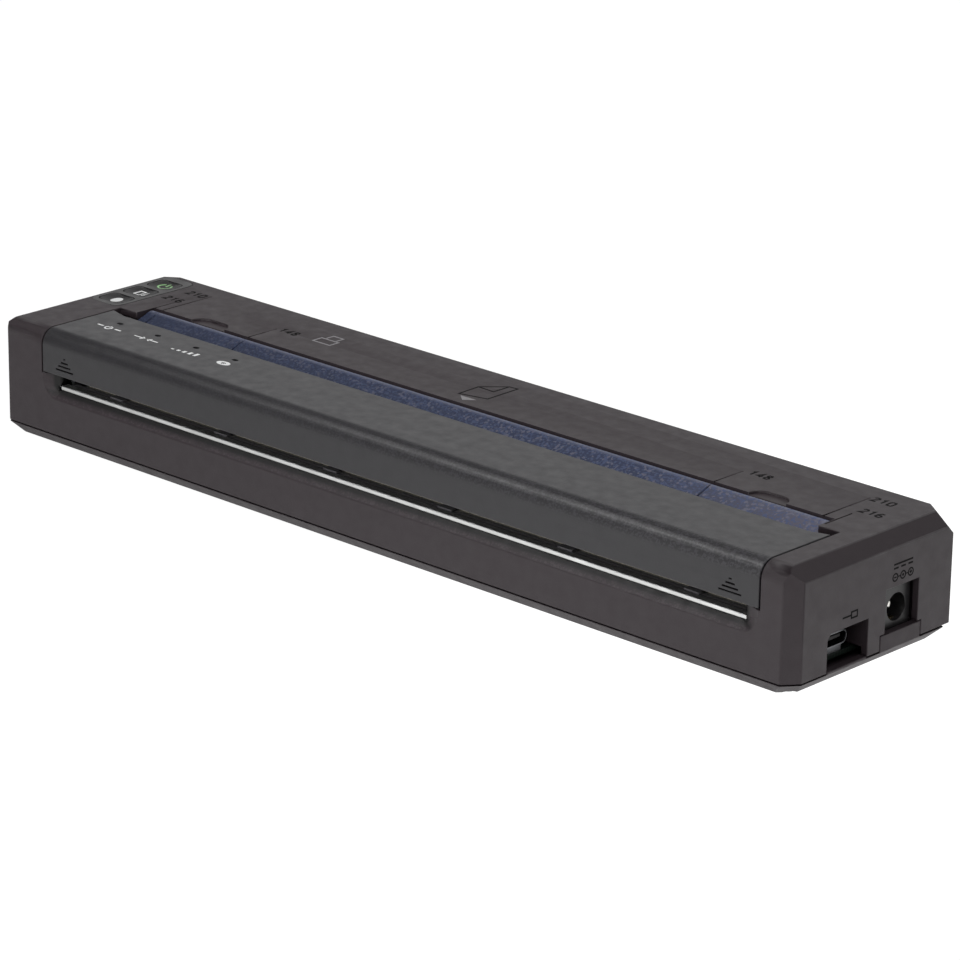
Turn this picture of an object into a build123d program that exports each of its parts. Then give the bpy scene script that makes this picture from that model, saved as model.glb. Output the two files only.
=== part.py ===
from build123d import *
import os
from math import acos, atan2, cos, degrees, pi, radians, sin, sqrt, tan

# Portable thermal printer for A4 sheets, millimetres.
# X runs along the case, the exit slot faces -Y, +Z is up.
# The origin is at the middle of the footprint, on the surface that the feet stand on.

# ---------------------------------------------------------------- driving sizes: case
paper_width = 216.0
keypad_zone = 16.0
socket_zone = 9.5
case_depth = 55.0
case_height = 30.0
wall = 1.8
top_wall = 1.8
floor_wall = 1.8
foot_standoff = 0.5
seam_height = 3.6
seam_gap = 0.4
front_facet = (3.0, 3.7)
rear_facet = (3.4, 1.9)
end_slope = (3.1, 3.3)
front_round = 4.0
rear_top_chamfer = 1.0
rear_corner_cut = (3.7, 2.8)
edge_softening = 0.8
floor_taper = (3.0, 2.5)
lip_gap = 0.1
lip_wall = 1.1
lip_rise = 1.8
lip_cut_depth = 3.0
lip_cut_margin = 2.0
part_gap = 0.2
fuse = 0.2
cut_reach = 2.0

# release cover and its hinge, set back from the front face and down from the top
cover_gap = 0.4
cover_drop = 10.7
cover_ledge_gap = 0.3
cover_depth = 22.2
ear_depth = 23.7
ear_width = 5.5
cover_skin = 1.8
cover_end_wall = 1.4
skirt_rise = 5.3
skirt_front_depth = 4.5
hinge_setback = 19.0
hinge_drop = 4.0
hinge_pin_radius = 0.9
running_clearance = 0.05
knuckle_radius = 2.0
knuckle_width = 2.8
knuckle_side_gap = 0.4
rib_count = 7
rib_thickness = 1.2
rib_platen_gap = 0.9
rib_foot_rise = 0.6
rib_toe = (2.2, 2.6)
rib_crown_inset = 1.0
rib_rear_reach = 2.0
rib_front_reach = 4.0
stripe_rise = 1.7
stripe_pitch = 1.0
stripe_height = 0.45
stripe_depth = 0.3
stripe_widths = (6.5, 4.6, 2.7, 0.9)
stripe_inset = 8.0

# paper path
inlet_depth = 32.1
inlet_gap = 4.15
inlet_end_gap = 0.2
inlet_flange_drop = 2.8
end_zone_depth = 26.2
flange_wall = 1.2
ramp_foot_drop = 2.0
ramp_rear_gap = 0.6
throat_setback = 0.75
throat_drop = 6.0
guide_bend_offset = (10.2, -3.0)
guide_lip_offset = (7.6, -4.0)
guide_wall = 1.6
ramp_crest_round = 1.2
ramp_corner = 2.5
ramp_groove = (0.6, 0.3)
guide_rib_count = 5
guide_rib_toe = 4.6
guide_rib_rear_gap = 1.2
recess_depth = 1.8
recess_drop = 6.3
recess_bevel_rise = 2.0
recess_height = 12.0
recess_end_scoop = 4.4
recess_corner = 4.5
recess_inner_corner = 1.0
rail_thickness = 2.2
rail_height = 3.5
rail_end = 5.5
tear_bar_setback = 0.5
tear_bar_depth = 1.7
tear_bar_height = 0.9
nose_flat = 0.03
slot_play = 0.3
exit_guide_wall = 0.9
exit_guide_rise = 0.9
exit_rib = (4.3, 0.5)
exit_rib_pitch = 37.0
exit_rib_count = 6
sensor_width = 5.0
sensor_reach = (2.0, 0.8)
sensor_air_gap = 1.2

# platen, gears and motor
platen_setback = 11.5
platen_drop = 8.8
platen_end_gap = 0.95
platen_radius = 4.5
platen_core_radius = 2.5
platen_core_overhang = 0.2
platen_journal_radius = 1.5
shaft_overhang = 0.4
bushing_radius = 3.0
bushing_flange_radius = 4.0
bushing_flange = 0.5
gear_module = 0.5
gear_backlash = 0.14
gear_addendum = 0.8
gear_dedendum = 1.15
gear_centre_slack = 0.06
gear_flank_steps = 3
pressure_angle = 20.0
gear_width = 2.2
gear_side_gap = 0.4
gear_layer_gap = 1.0
gear_hub_wall = 0.8
gear_dish_depth = 0.7
gear_dish_radius = 7.4
platen_teeth = 22
idler_teeth = 20
small_teeth = 14
big_teeth = 36
pinion_teeth = 12
idler_direction = -35.0
reduction_floor_gap = 1.96
motor_floor_gap = 3.4
gear_pin_radius = 1.0
gear_pin_overhang = 0.3
clip_radius = 1.9
clip_thickness = 0.4
clip_side_gap = 0.1
clip_mouth = 0.7
motor_radius = 9.0
motor_length = 17.5
motor_boss_radius = 3.0
motor_boss_length = 1.0
motor_shaft_radius = 0.75
motor_shaft_depth = 12.0
motor_ear = (24.4, 5.4, 1.0)
motor_ear_turn = 55.0
motor_ear_hole_spacing = 21.4

# chassis
side_frame_wall = 1.2
frame_depth = 30.5
frame_top_gap = 0.6
frame_rear_gap = 1.0
frame_saddle_drop = 5.5
frame_saddle_margin = 0.5
saddle_start = 1.6
saddle_drop = 2.4
eye_step = 0.15
motor_frame_margin = 11.1
motor_frame_floor_gap = 0.6
chassis_floor = 6.6
chassis_wall = 1.0
chassis_fold_inset = 14.0
chassis_fold_gap = 0.4
chassis_window = (20.0, 4.0)
chassis_window_pitch = 30.0
chassis_window_count = 7
chassis_window_setback = 11.5
frame_foot = (5.0, 8.0, 1.2)
frame_screw_inset = 2.6
chassis_front_screw_row = 8.5
chassis_rear_screw_row = 3.5

# print head
head_gap = 0.2
ceramic_wall = 0.7
ceramic_reach = (4.5, 3.4)
ceramic_end_inset = 1.0
heat_sink_margin = 0.4
heat_sink_wall = 3.2
heat_sink_end_gap = 2.2
head_ear_width = 4.0
head_pivot_offset = (5.6, -8.2)
head_ear_radius = 2.0
head_swing_gap = 0.45
spring_offset = 1.5
spring_radius = 1.6
spring_wire = 0.25
spring_turns = 4
spring_count = 4

# keypad
keypad_inset = (3.5, 1.5)
keypad_size = (10.6, 27.3)
keypad_corner = 2.6
keypad_frame_wall = 1.0
keypad_seat_gap = 0.1
key_count = 3
key_end_margin = (4.9, 6.0)
key_width = 7.8
key_spacing = 2.0
key_corner = 1.6
key_gap = 0.2
key_sink = 0.05
key_dish_radius = 14.0
key_dish_depth = 0.55
key_flange = 0.5
key_flange_height = 1.0
key_travel = 0.5
key_keep_gap = 0.1
switch_gap = 0.1
switch_size = (4.5, 4.5, 1.1)
key_board_width = 8.4
key_board_wall = 1.0
key_board_rear_gap = 0.5
key_board_post_radius = 0.8
key_post_inset = (3.4, 0.55)
ribbon_wall = 0.3
ribbon_width = 4.0
ribbon_inset = 0.4
ribbon_gear_gap = 0.3
ribbon_landing = 3.0

# indicators in the cover
led_count = 4
led_inset = 9.8
led_pitch = 13.73
led_setback = 17.0
led_lens = (1.9, 1.3)
led_recess = 0.3
led_post_radius = 0.9
led_post_offset = 1.6
led_board_wall = 0.6
led_board_drop = 0.9
led_board_margin = 3.0
led_board_depth = (2.7, 1.9)

# paper width marks and finger reliefs on the rear top: place from the paper's middle, then extent
guide_line_marks = (
    (-108.85, 0.0, 7.7),
    (-106.05, 0.0, 16.9),
    (-74.95, 0.0, 9.7),
    (74.75, 0.0, 10.0),
    (105.95, 0.0, 16.3),
    (109.55, -3.9, 5.4),
)
# these marks, counted from the left, run on down the ramp
ramp_groove_marks = (1, 2, 3)
guide_line_width = 0.5
guide_line_depth = 0.3
finger_relief_spans = ((-95.25, -83.75), (84.75, 95.25))
finger_relief_reach = 3.4
finger_relief_depth = 0.6

# boards and sockets, set in from the right end
board_floor = 4.2
board_wall = 1.2
board_part_gap = 0.2
board_left_margin = 1.6
board_right_margin = 3.6
board_front_gap = 1.4
board_rear_gap = 1.4
board_corner_cut = 6.0
board_socket_gap = 4.1
board_wing_length = 33.4
board_wing_rear_gap = 7.3
board_post_inset = (18.5, 13.0)
board_post_rows = (8.5, 25.5)
usb_opening = (-15.3, -1.5, 4.1, 12.6)
usb_corner_cut = 1.2
usb_middle = (-8.6, 8.7)
usb_shell = (9.0, 3.3, 7.4)
usb_shell_wall = 0.35
usb_back_wall = 0.8
usb_face_inset = 3.7
usb_tongue = (6.6, 0.7, 5.6)
usb_base_inset = (0.6, 1.2)
shroud_wall = 1.2
shroud_depth = 4.4
jack_opening = (4.4, 15.8, 7.4, 17.5)
jack_face_setback = 0.3
jack_middle = (10.7, 11.6)
jack_bore_radius = 3.15
jack_bore_depth = 9.5
jack_frame_gap = 0.2
jack_side_gap = 0.3
jack_pin_radius = 1.0
jack_pin_setback = 1.8
jack_pin_round = 0.6
jack_contact_setback = 1.6
jack_contact_half = 1.2
jack_contact_wall = 0.3
jack_contact_rise = 0.3
jack_contact_relief = 1.0
socket_tongue_span = (3.0, 17.0)
socket_tongue_rise = 3.4
socket_tongue_gap = 0.2
radio_inset = (1.0, 1.5)
radio_front_gap = 1.5
radio_size = (10.0, 2.4)
capacitor_setback = 22.0
capacitor_end_gap = (1.5, 2.3)
capacitor_size = (2.5, 6.5)
# chips: place from the board's front left corner, then size
chips = (
    ((48.5, 12.3), (9.0, 9.0, 0.9)),
    ((70.5, 10.3), (6.0, 5.0, 0.8)),
    ((93.5, 12.3), (12.0, 12.0, 0.9)),
    ((120.5, 9.3), (5.0, 4.0, 0.8)),
    ((138.5, 13.3), (8.0, 6.0, 0.9)),
    ((168.5, 11.3), (7.0, 7.0, 1.0)),
    ((192.5, 12.3), (5.0, 6.0, 1.0)),
)

# battery, its bay and cover
battery_left = -60.0
battery_right = 74.0
battery_thickness = 19.0
battery_front_gap = 2.6
battery_rear_gap = 0.5
battery_floor_gap = 0.2
battery_corner = 5.0
bay_side = 2.5
bay_front_gap = 1.6
bay_gap = 0.2
bay_rail_tongue = 1.0
bay_tongue_inset = 1.5
bay_front_tongue_inset = 3.0
battery_step = 0.1
ridge_count = 4
ridge_pitch = 1.6
ridge_half_width = 0.3
ridge_half_length = 9.0
ridge_depth = 0.35
ridge_rear_gap = 9.0
contact_reach = 3.6
contact_block_size = (3.0, 12.0, 13.7)
contact_front_gap = 2.4
contact_rows = (2.5, 6.0, 9.5)
contact_blade_half = 0.4
contact_blade_span = (5.7, 11.7)

# fasteners and feet
screw_radius = 1.0
screw_head_radius = 1.9
screw_head_height = 1.3
screw_slack = 0.15
screw_cross = (2.2, 0.5, 0.6)
counterbore_radius = 2.3
counterbore_top = 2.0
boss_radius = 2.6
boss_split = 6.0
boss_split_gap = 0.1
case_screw_length = 12.0
end_boss_inset = (5.4, 5.9)
keypad_boss_inset = (7.5, 7.5)
gear_boss_gap = 0.3
rear_boss_gap = 0.8
battery_boss_gap = (12.0, 8.0)
small_screw_radius = 0.7
small_head_radius = 1.4
small_head_height = 0.7
chassis_screw_length = 4.0
board_screw_length = 1.8
board_post_radius = 1.8
chassis_post_radius = 2.0
foot_radius = 4.5
foot_recess = 0.4
foot_inset = (23.5, 11.7)

# ---------------------------------------------------------------- worked-out places
cover_side = platen_end_gap + side_frame_wall + knuckle_side_gap + knuckle_width + cover_end_wall
cover_length = paper_width + 2 * cover_side
case_length = keypad_zone + cover_length + socket_zone
half_length = case_length / 2
half_depth = case_depth / 2
front = -half_depth
floor_bottom = foot_standoff
floor_top = floor_bottom + floor_wall
seam_bottom = seam_height - seam_gap / 2
seam_top = seam_height + seam_gap / 2
lip_inset = wall + lip_gap
lip_top = seam_top + lip_rise
ceiling = case_height - top_wall
front_inner = front + wall
rear_inner = half_depth - wall
end_inner = half_length - wall

cover_left = -half_length + keypad_zone
cover_right = half_length - socket_zone
cover_bottom = case_height - cover_drop
cover_rear = front + cover_depth
ear_rear = front + ear_depth
cover_ceiling = case_height - cover_skin
skirt_bottom = cover_bottom + skirt_rise
stripe_base = cover_bottom + stripe_rise
ledge_top = cover_bottom - cover_ledge_gap
hinge_y = front + hinge_setback
hinge_z = case_height - hinge_drop
recess_bottom = cover_bottom - recess_drop
slot_left = cover_left + recess_end_scoop
slot_right = cover_right - recess_end_scoop
slot_floor = recess_bottom + recess_bevel_rise
recess_rear = front + recess_depth

paper_middle = (cover_left + cover_right) / 2
rubber_left = paper_middle - paper_width / 2
rubber_right = paper_middle + paper_width / 2
frame_left_inner = rubber_left - platen_end_gap
frame_left_outer = frame_left_inner - side_frame_wall
frame_right_inner = rubber_right + platen_end_gap
frame_right_outer = frame_right_inner + side_frame_wall
platen_y = front + platen_setback
platen_z = case_height - platen_drop
end_zone_rear = front + end_zone_depth
inlet_rear = front + inlet_depth
inlet_left = frame_left_inner - inlet_end_gap
inlet_right = frame_right_inner + inlet_end_gap
ramp_foot = (cover_rear + inlet_gap, case_height - ramp_foot_drop)
guide_throat = (ramp_foot[0] - throat_setback, case_height - throat_drop)
guide_bend = (platen_y + guide_bend_offset[0], platen_z + guide_bend_offset[1])
guide_lip = (platen_y + guide_lip_offset[0], platen_z + guide_lip_offset[1])

frame_rear = front + frame_depth
frame_top = cover_ceiling - frame_top_gap
frame_rear_top = ceiling - frame_rear_gap
frame_saddle = hinge_z - frame_saddle_drop
motor_frame_floor = floor_top + motor_frame_floor_gap
chassis_top = chassis_floor + chassis_wall
ceramic_front = platen_y - ceramic_reach[0]
ceramic_rear = platen_y + ceramic_reach[1]
heat_sink_front = ceramic_front - heat_sink_margin
heat_sink_rear = ceramic_rear + heat_sink_margin
head_pivot_y = platen_y + head_pivot_offset[0]
head_pivot_z = platen_z + head_pivot_offset[1]
spring_y = platen_y - spring_offset

keypad_left = -half_length + keypad_inset[0]
keypad_right = keypad_left + keypad_size[0]
keypad_rear = half_depth - keypad_inset[1]
keypad_front = keypad_rear - keypad_size[1]
key_middle_x = (keypad_left + keypad_right) / 2
key_pitch = (keypad_size[1] - sum(key_end_margin)) / (key_count - 1)
key_size = (key_width, key_pitch - key_spacing)
key_rows = [keypad_front + key_end_margin[0] + key_pitch * row for row in range(key_count)]
key_board_rear = rear_inner - key_board_rear_gap
key_board_top = ceiling - key_keep_gap - key_flange_height - key_travel - switch_gap - switch_size[2]
led_y = front + led_setback
led_row = [cover_left + led_inset + led_pitch * number for number in range(led_count)]
led_board_top = cover_ceiling - led_board_drop

board_top = board_floor + board_wall
board_left = frame_left_outer - board_left_margin
board_right = frame_right_outer + board_right_margin
board_front = front_inner + board_front_gap
board_rear = frame_rear - board_rear_gap
board_socket_end = half_length - board_socket_gap
board_wing_left = board_socket_end - board_wing_length
board_wing_rear = rear_inner - board_wing_rear_gap
usb_face = half_length - usb_face_inset
jack_face = end_inner - jack_face_setback
jack_back = frame_right_outer + jack_frame_gap
socket_tongue_top = seam_top + socket_tongue_rise

battery_rear = rear_inner - battery_rear_gap
battery_front = frame_rear + battery_front_gap
battery_depth = battery_rear - battery_front
battery_bottom = floor_top + battery_floor_gap
battery_top = battery_bottom + battery_thickness
bay_front = battery_front - bay_front_gap
bay_left = battery_left - bay_side
bay_right = battery_right + bay_side
bay_tongue_low = floor_top - bay_rail_tongue + battery_step / 2
bay_ledge_low = bay_tongue_low - battery_step

near_layer = (frame_left_outer - gear_side_gap - gear_width, frame_left_outer - gear_side_gap)
far_layer = (near_layer[0] - gear_layer_gap - gear_width, near_layer[0] - gear_layer_gap)
boss_floor_top = boss_split - boss_split_gap
rear_boss_y = rear_inner - rear_boss_gap - boss_radius
case_screws_at = (
    (-half_length + keypad_boss_inset[0], front + keypad_boss_inset[1]),
    (frame_left_outer - gear_boss_gap - boss_radius, rear_boss_y),
    (battery_left - battery_boss_gap[0], rear_boss_y),
    (battery_right + battery_boss_gap[1], rear_boss_y),
    (half_length - end_boss_inset[0], front + end_boss_inset[1]),
    (half_length - end_boss_inset[0], half_depth - end_boss_inset[1]),
)
screw_columns = (frame_left_inner + frame_screw_inset, frame_right_inner - frame_screw_inset)
chassis_front_screws = [(x, front + chassis_front_screw_row) for x in screw_columns]
chassis_rear_screws = [(x, frame_rear - chassis_rear_screw_row) for x in screw_columns]
chassis_posts_at = chassis_front_screws + chassis_rear_screws
board_post_columns = (board_left + board_post_inset[0], board_right - board_post_inset[1])
board_posts_at = [(x, front + row) for x in board_post_columns for row in board_post_rows]
foot_x = half_length - foot_inset[0]
foot_y = half_depth - foot_inset[1]
feet_at = [(x, y) for x in (-foot_x, foot_x) for y in (-foot_y, foot_y)]

os.makedirs("parts", exist_ok=True)


# ---------------------------------------------------------------- helpers
def block(x_span, y_span, z_span, mode=Mode.ADD):
    """Box between two corners, each axis given as its low and high value."""
    spans = (x_span, y_span, z_span)
    middle = tuple(sum(span) / 2 for span in spans)
    with Locations(middle):
        Box(*(high - low for low, high in spans), mode=mode)


def post(x, y, low, high, radius, mode=Mode.ADD):
    """Upright round post or hole between two heights."""
    with Locations((x, y, (low + high) / 2)):
        Cylinder(radius, high - low, mode=mode)


def rod(y, z, low, high, radius, mode=Mode.ADD):
    """Round bar or hole along the case's length, between two places on X."""
    with Locations(((low + high) / 2, y, z)):
        Cylinder(radius, high - low, rotation=(0, 90, 0), mode=mode)


def plan_points(inset_x, inset_y):
    """Corners of the case's plan, with its corner facets."""
    half_x = half_length - inset_x
    half_y = half_depth - inset_y
    return (
        (-half_x + front_facet[0], -half_y),
        (half_x - front_facet[0], -half_y),
        (half_x, -half_y + front_facet[1]),
        (half_x, half_y - rear_facet[1]),
        (half_x - rear_facet[0], half_y),
        (-half_x + rear_facet[0], half_y),
        (-half_x, half_y - rear_facet[1]),
        (-half_x, -half_y + front_facet[1]),
    )


def case_form(inset, low, high):
    """The case's outer form, shrunk by inset, from one height to another."""
    half_x = half_length - inset
    half_y = half_depth - inset
    with BuildPart() as form:
        with BuildSketch(Plane.XY.offset(low)) as plan:
            Polygon(*plan_points(inset, inset))
            fillet(plan.vertices(), radius=edge_softening)
        extrude(amount=high - low)
        with BuildSketch(Plane.YZ.offset(-half_x)) as side:
            Polygon(
                (-half_y, low),
                (-half_y, high),
                (half_y - rear_top_chamfer, high),
                (half_y, high - rear_top_chamfer),
                (half_y, low),
            )
            crown = side.vertices().group_by(Axis.Y)[-1].sort_by(Axis.X)[0]
            fillet(crown, radius=front_round - inset)
        extrude(amount=2 * half_x, mode=Mode.INTERSECT)
        with BuildSketch(Plane.XZ.offset(half_y)) as front:
            Polygon(
                (-half_x, low),
                (-half_x, high - end_slope[1]),
                (-half_x + end_slope[0], high),
                (half_x - end_slope[0], high),
                (half_x, high - end_slope[1]),
                (half_x, low),
            )
            shoulders = front.vertices().group_by(Axis.Y)[1:]
            fillet([corner for level in shoulders for corner in level], radius=edge_softening)
        extrude(amount=-2 * half_y, mode=Mode.INTERSECT)
    return form.part


def cut_rear_corner(side):
    """Takes off the corner between the top, the rear and one end of the case (side -1 or 1)."""
    crest_x = half_length - end_slope[0]
    start = Vector(side * (crest_x - rear_corner_cut[0]), half_depth, case_height)
    turn = Vector(side * crest_x, half_depth - rear_corner_cut[1], case_height)
    foot = Vector(side * half_length, half_depth - rear_facet[1], case_height - end_slope[1])
    outwards = (turn - start).cross(foot - start) * side
    reach = 4 * max(rear_corner_cut)
    with BuildSketch(Plane(start, x_dir=turn - start, z_dir=outwards)) as face:
        Rectangle(reach, reach)
    extrude(face.sketch, amount=reach, mode=Mode.SUBTRACT)


def floor_form():
    """The tapered plate below the parting line, as a full solid."""
    with BuildPart() as form:
        with BuildSketch(Plane.XY.offset(floor_bottom)):
            Polygon(*plan_points(*floor_taper))
        with BuildSketch(Plane.XY.offset(seam_bottom)):
            Polygon(*plan_points(0, 0))
        loft(ruled=True)
    return form.part


def profile_bar(points, low, high, mode=Mode.ADD):
    """Bar along X whose section is a polygon of (y, z) points."""
    with BuildSketch(Plane.YZ.offset(low)) as section:
        Polygon(*points)
    extrude(section.sketch, amount=high - low, mode=mode)


def gear_outline(teeth, turn):
    """Points of a spur gear, its first tooth turned by an angle in degrees."""
    pitch_radius = gear_module * teeth / 2
    base_radius = pitch_radius * cos(radians(pressure_angle))
    root_radius = pitch_radius - gear_dedendum * gear_module
    tip_radius = pitch_radius + gear_addendum * gear_module
    start_radius = max(base_radius, root_radius)
    half_tooth = (pi * gear_module / 2 - gear_backlash) / (2 * pitch_radius)
    roll = tan(radians(pressure_angle)) - radians(pressure_angle)
    flank = []
    for step in range(gear_flank_steps + 1):
        radius = start_radius + (tip_radius - start_radius) * step / gear_flank_steps
        angle = acos(base_radius / radius)
        flank.append((radius, half_tooth + roll - (tan(angle) - angle)))
    if root_radius < start_radius:
        flank.insert(0, (root_radius, flank[0][1]))
    points = []
    for tooth in range(teeth):
        middle = radians(turn) + 2 * pi * tooth / teeth
        rising = [(radius, middle - half) for radius, half in flank]
        falling = [(radius, middle + half) for radius, half in reversed(flank)]
        points += [(radius * cos(angle), radius * sin(angle)) for radius, angle in rising + falling]
    return points


def gear_disc(teeth, turn, axle, low, high):
    """Toothed disc on an axle given as (y, z), between two places on X."""
    with BuildSketch(Plane.YZ.offset(low)) as section:
        with Locations(axle):
            Polygon(*gear_outline(teeth, turn))
    extrude(section.sketch, amount=high - low)


def gear_distance(teeth, other_teeth):
    """Distance between the axles of two meshed gears."""
    return gear_module * (teeth + other_teeth) / 2 + gear_centre_slack


def step_from(start, distance, direction):
    """Point reached from a (y, z) point by a distance and a direction in degrees."""
    turn = radians(direction)
    return (start[0] + distance * cos(turn), start[1] + distance * sin(turn))


def level_step(distance, rise):
    """Step along Y of a straight distance that climbs by a rise."""
    return sqrt(distance**2 - rise**2)


def direction_to(start, end):
    """Direction in degrees from one (y, z) point to another."""
    return degrees(atan2(end[1] - start[1], end[0] - start[0]))


def meshed_turn(turn, teeth, other_teeth, direction):
    """Turn of a gear that lies in the given direction from one that is turned by turn."""
    offset = turn - direction
    return direction + 180 - offset * teeth / other_teeth + 180 / other_teeth


# ---------------------------------------------------------------- drive train layout
platen_axle = (platen_y, platen_z)
small_reach = gear_distance(idler_teeth, small_teeth)
motor_reach = gear_distance(big_teeth, pinion_teeth)
big_tip_radius = gear_module * (big_teeth / 2 + gear_addendum)
reduction_z = floor_top + reduction_floor_gap + big_tip_radius
motor_z = floor_top + motor_floor_gap + motor_radius
idler_axle = step_from(platen_axle, gear_distance(platen_teeth, idler_teeth), idler_direction)
reduction_axle = (idler_axle[0] + level_step(small_reach, reduction_z - idler_axle[1]), reduction_z)
motor_axle = (reduction_axle[0] + level_step(motor_reach, motor_z - reduction_z), motor_z)
reduction_heading = direction_to(idler_axle, reduction_axle)
motor_heading = direction_to(reduction_axle, motor_axle)
idler_turn = meshed_turn(0, platen_teeth, idler_teeth, idler_direction)
small_turn = meshed_turn(idler_turn, idler_teeth, small_teeth, reduction_heading)
pinion_turn = meshed_turn(0, big_teeth, pinion_teeth, motor_heading)

# the key board reaches forward to a ribbon that passes in front of the big gear
ribbon_rear = reduction_axle[0] - big_tip_radius - ribbon_gear_gap
ribbon_front = ribbon_rear - ribbon_width
key_board_front = ribbon_front - ribbon_inset

with BuildPart() as outer:
    add(case_form(0, seam_top, case_height))
    for side in (-1, 1):
        cut_rear_corner(side)
outer_form = outer.part
inner_form = case_form(wall, seam_top - cut_reach, ceiling)
tapered_floor = floor_form()

# ---------------------------------------------------------------- upper case
bay_wall_left = cover_left - cover_gap
bay_wall_right = cover_right + cover_gap
keypad_floor = case_height - keypad_frame_wall
key_window = (key_size[0] + 2 * key_gap, key_size[1] + 2 * key_gap)
key_posts_y = (key_board_front + key_post_inset[0], key_board_rear - key_post_inset[1])

with BuildPart() as upper_case:
    add(outer_form)
    add(inner_form, mode=Mode.SUBTRACT)
    # rail and posts that thicken the front wall around the exit slot
    block(
        (slot_left - rail_end, slot_right + rail_end),
        (front_inner - fuse, front_inner + rail_thickness),
        (slot_floor - rail_height, slot_floor),
    )
    for low, high in ((slot_left - rail_end, slot_left), (slot_right, slot_right + rail_end)):
        block((low, high), (front_inner - fuse, front_inner + rail_thickness), (slot_floor - fuse, ledge_top))
    # flanges that close the view beside the cover and behind the inlet
    for low, high in (
        (bay_wall_left - flange_wall, bay_wall_left),
        (bay_wall_right, bay_wall_right + flange_wall),
    ):
        block((low, high), (front_inner - fuse, hinge_y), (ledge_top, ceiling + fuse))
    block(
        (frame_left_inner + inlet_end_gap, frame_right_inner - inlet_end_gap),
        (inlet_rear, inlet_rear + flange_wall),
        (ceiling - inlet_flange_drop, ceiling + fuse),
    )
    # screw bosses
    for x, y in case_screws_at:
        post(x, y, boss_split, ceiling + fuse, boss_radius)
    # posts that the key board hangs on
    for y in key_posts_y:
        post(key_middle_x, y, key_board_top, ceiling + fuse, key_board_post_radius)
    # shroud around the data socket's mouth
    block(
        (end_inner - shroud_depth, end_inner + fuse),
        (usb_opening[0] - shroud_wall, usb_opening[1] + shroud_wall),
        (board_top + board_part_gap, usb_opening[3] + shroud_wall),
    )
    # bay of the release cover, and the inlet behind it
    block(
        (bay_wall_left, bay_wall_right),
        (front - cut_reach, end_zone_rear),
        (ledge_top, case_height + cut_reach),
        Mode.SUBTRACT,
    )
    block(
        (inlet_left, inlet_right),
        (end_zone_rear - cut_reach, inlet_rear),
        (ceiling - inlet_flange_drop, case_height + cut_reach),
        Mode.SUBTRACT,
    )
    # exit slot, and the scooped recess around it
    block(
        (slot_left, slot_right),
        (front - cut_reach, front_inner + fuse),
        (slot_floor, ledge_top + fuse),
        Mode.SUBTRACT,
    )
    with BuildSketch(Plane.XZ.offset(half_depth)):
        with Locations((paper_middle, recess_bottom + recess_height / 2)):
            RectangleRounded(cover_right - cover_left, recess_height, recess_corner)
    with BuildSketch(Plane.XZ.offset(-recess_rear)):
        with Locations((paper_middle, slot_floor + recess_height / 2)):
            RectangleRounded(slot_right - slot_left, recess_height, recess_inner_corner)
    loft(ruled=True, mode=Mode.SUBTRACT)
    # keypad seat with a window for each key
    with BuildSketch(Plane.XY.offset(keypad_floor)):
        with Locations(((keypad_left + keypad_right) / 2, (keypad_front + keypad_rear) / 2)):
            RectangleRounded(
                keypad_right - keypad_left + 2 * keypad_seat_gap,
                keypad_rear - keypad_front + 2 * keypad_seat_gap,
                keypad_corner + keypad_seat_gap,
            )
    extrude(amount=keypad_frame_wall + cut_reach, mode=Mode.SUBTRACT)
    for y in key_rows:
        block(
            (key_middle_x - key_window[0] / 2, key_middle_x + key_window[0] / 2),
            (y - key_window[1] / 2, y + key_window[1] / 2),
            (ceiling - fuse, case_height),
            Mode.SUBTRACT,
        )
    # mouth of the data socket, its upper front corner cut off
    with BuildSketch(Plane.YZ.offset(end_inner - shroud_depth - cut_reach)):
        Polygon(
            (usb_opening[0], seam_top - fuse),
            (usb_opening[1], seam_top - fuse),
            (usb_opening[1], usb_opening[3]),
            (usb_opening[0] + usb_corner_cut, usb_opening[3]),
            (usb_opening[0], usb_opening[3] - usb_corner_cut),
        )
    extrude(amount=wall + shroud_depth + 2 * cut_reach, mode=Mode.SUBTRACT)
    # mouth of the power socket, and the notch for the floor's tongue
    block(
        (end_inner - fuse, half_length + cut_reach),
        jack_opening[:2],
        jack_opening[2:],
        Mode.SUBTRACT,
    )
    block(
        (end_inner - fuse, half_length + cut_reach),
        (socket_tongue_span[0] - socket_tongue_gap, socket_tongue_span[1] + socket_tongue_gap),
        (seam_top - fuse, socket_tongue_top + socket_tongue_gap),
        Mode.SUBTRACT,
    )
    # pilot holes of the case screws
    for x, y in case_screws_at:
        post(x, y, boss_split - fuse, counterbore_top + case_screw_length, screw_radius, Mode.SUBTRACT)
    # engraved paper lines and finger reliefs on the rear top
    for offset_x, start, end in guide_line_marks:
        x = paper_middle + offset_x
        block(
            (x - guide_line_width / 2, x + guide_line_width / 2),
            (inlet_rear + start - fuse, inlet_rear + end),
            (case_height - guide_line_depth, case_height + cut_reach),
            Mode.SUBTRACT,
        )
    for left, right in finger_relief_spans:
        with BuildSketch(Plane.XY.offset(case_height - finger_relief_depth)):
            with Locations((paper_middle + (left + right) / 2, inlet_rear)):
                SlotOverall(right - left, 2 * finger_relief_reach)
        extrude(amount=finger_relief_depth + cut_reach, mode=Mode.SUBTRACT)
upper_case.part.label = "upper_case"
export_step(upper_case.part, "parts/upper_case.step")

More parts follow.
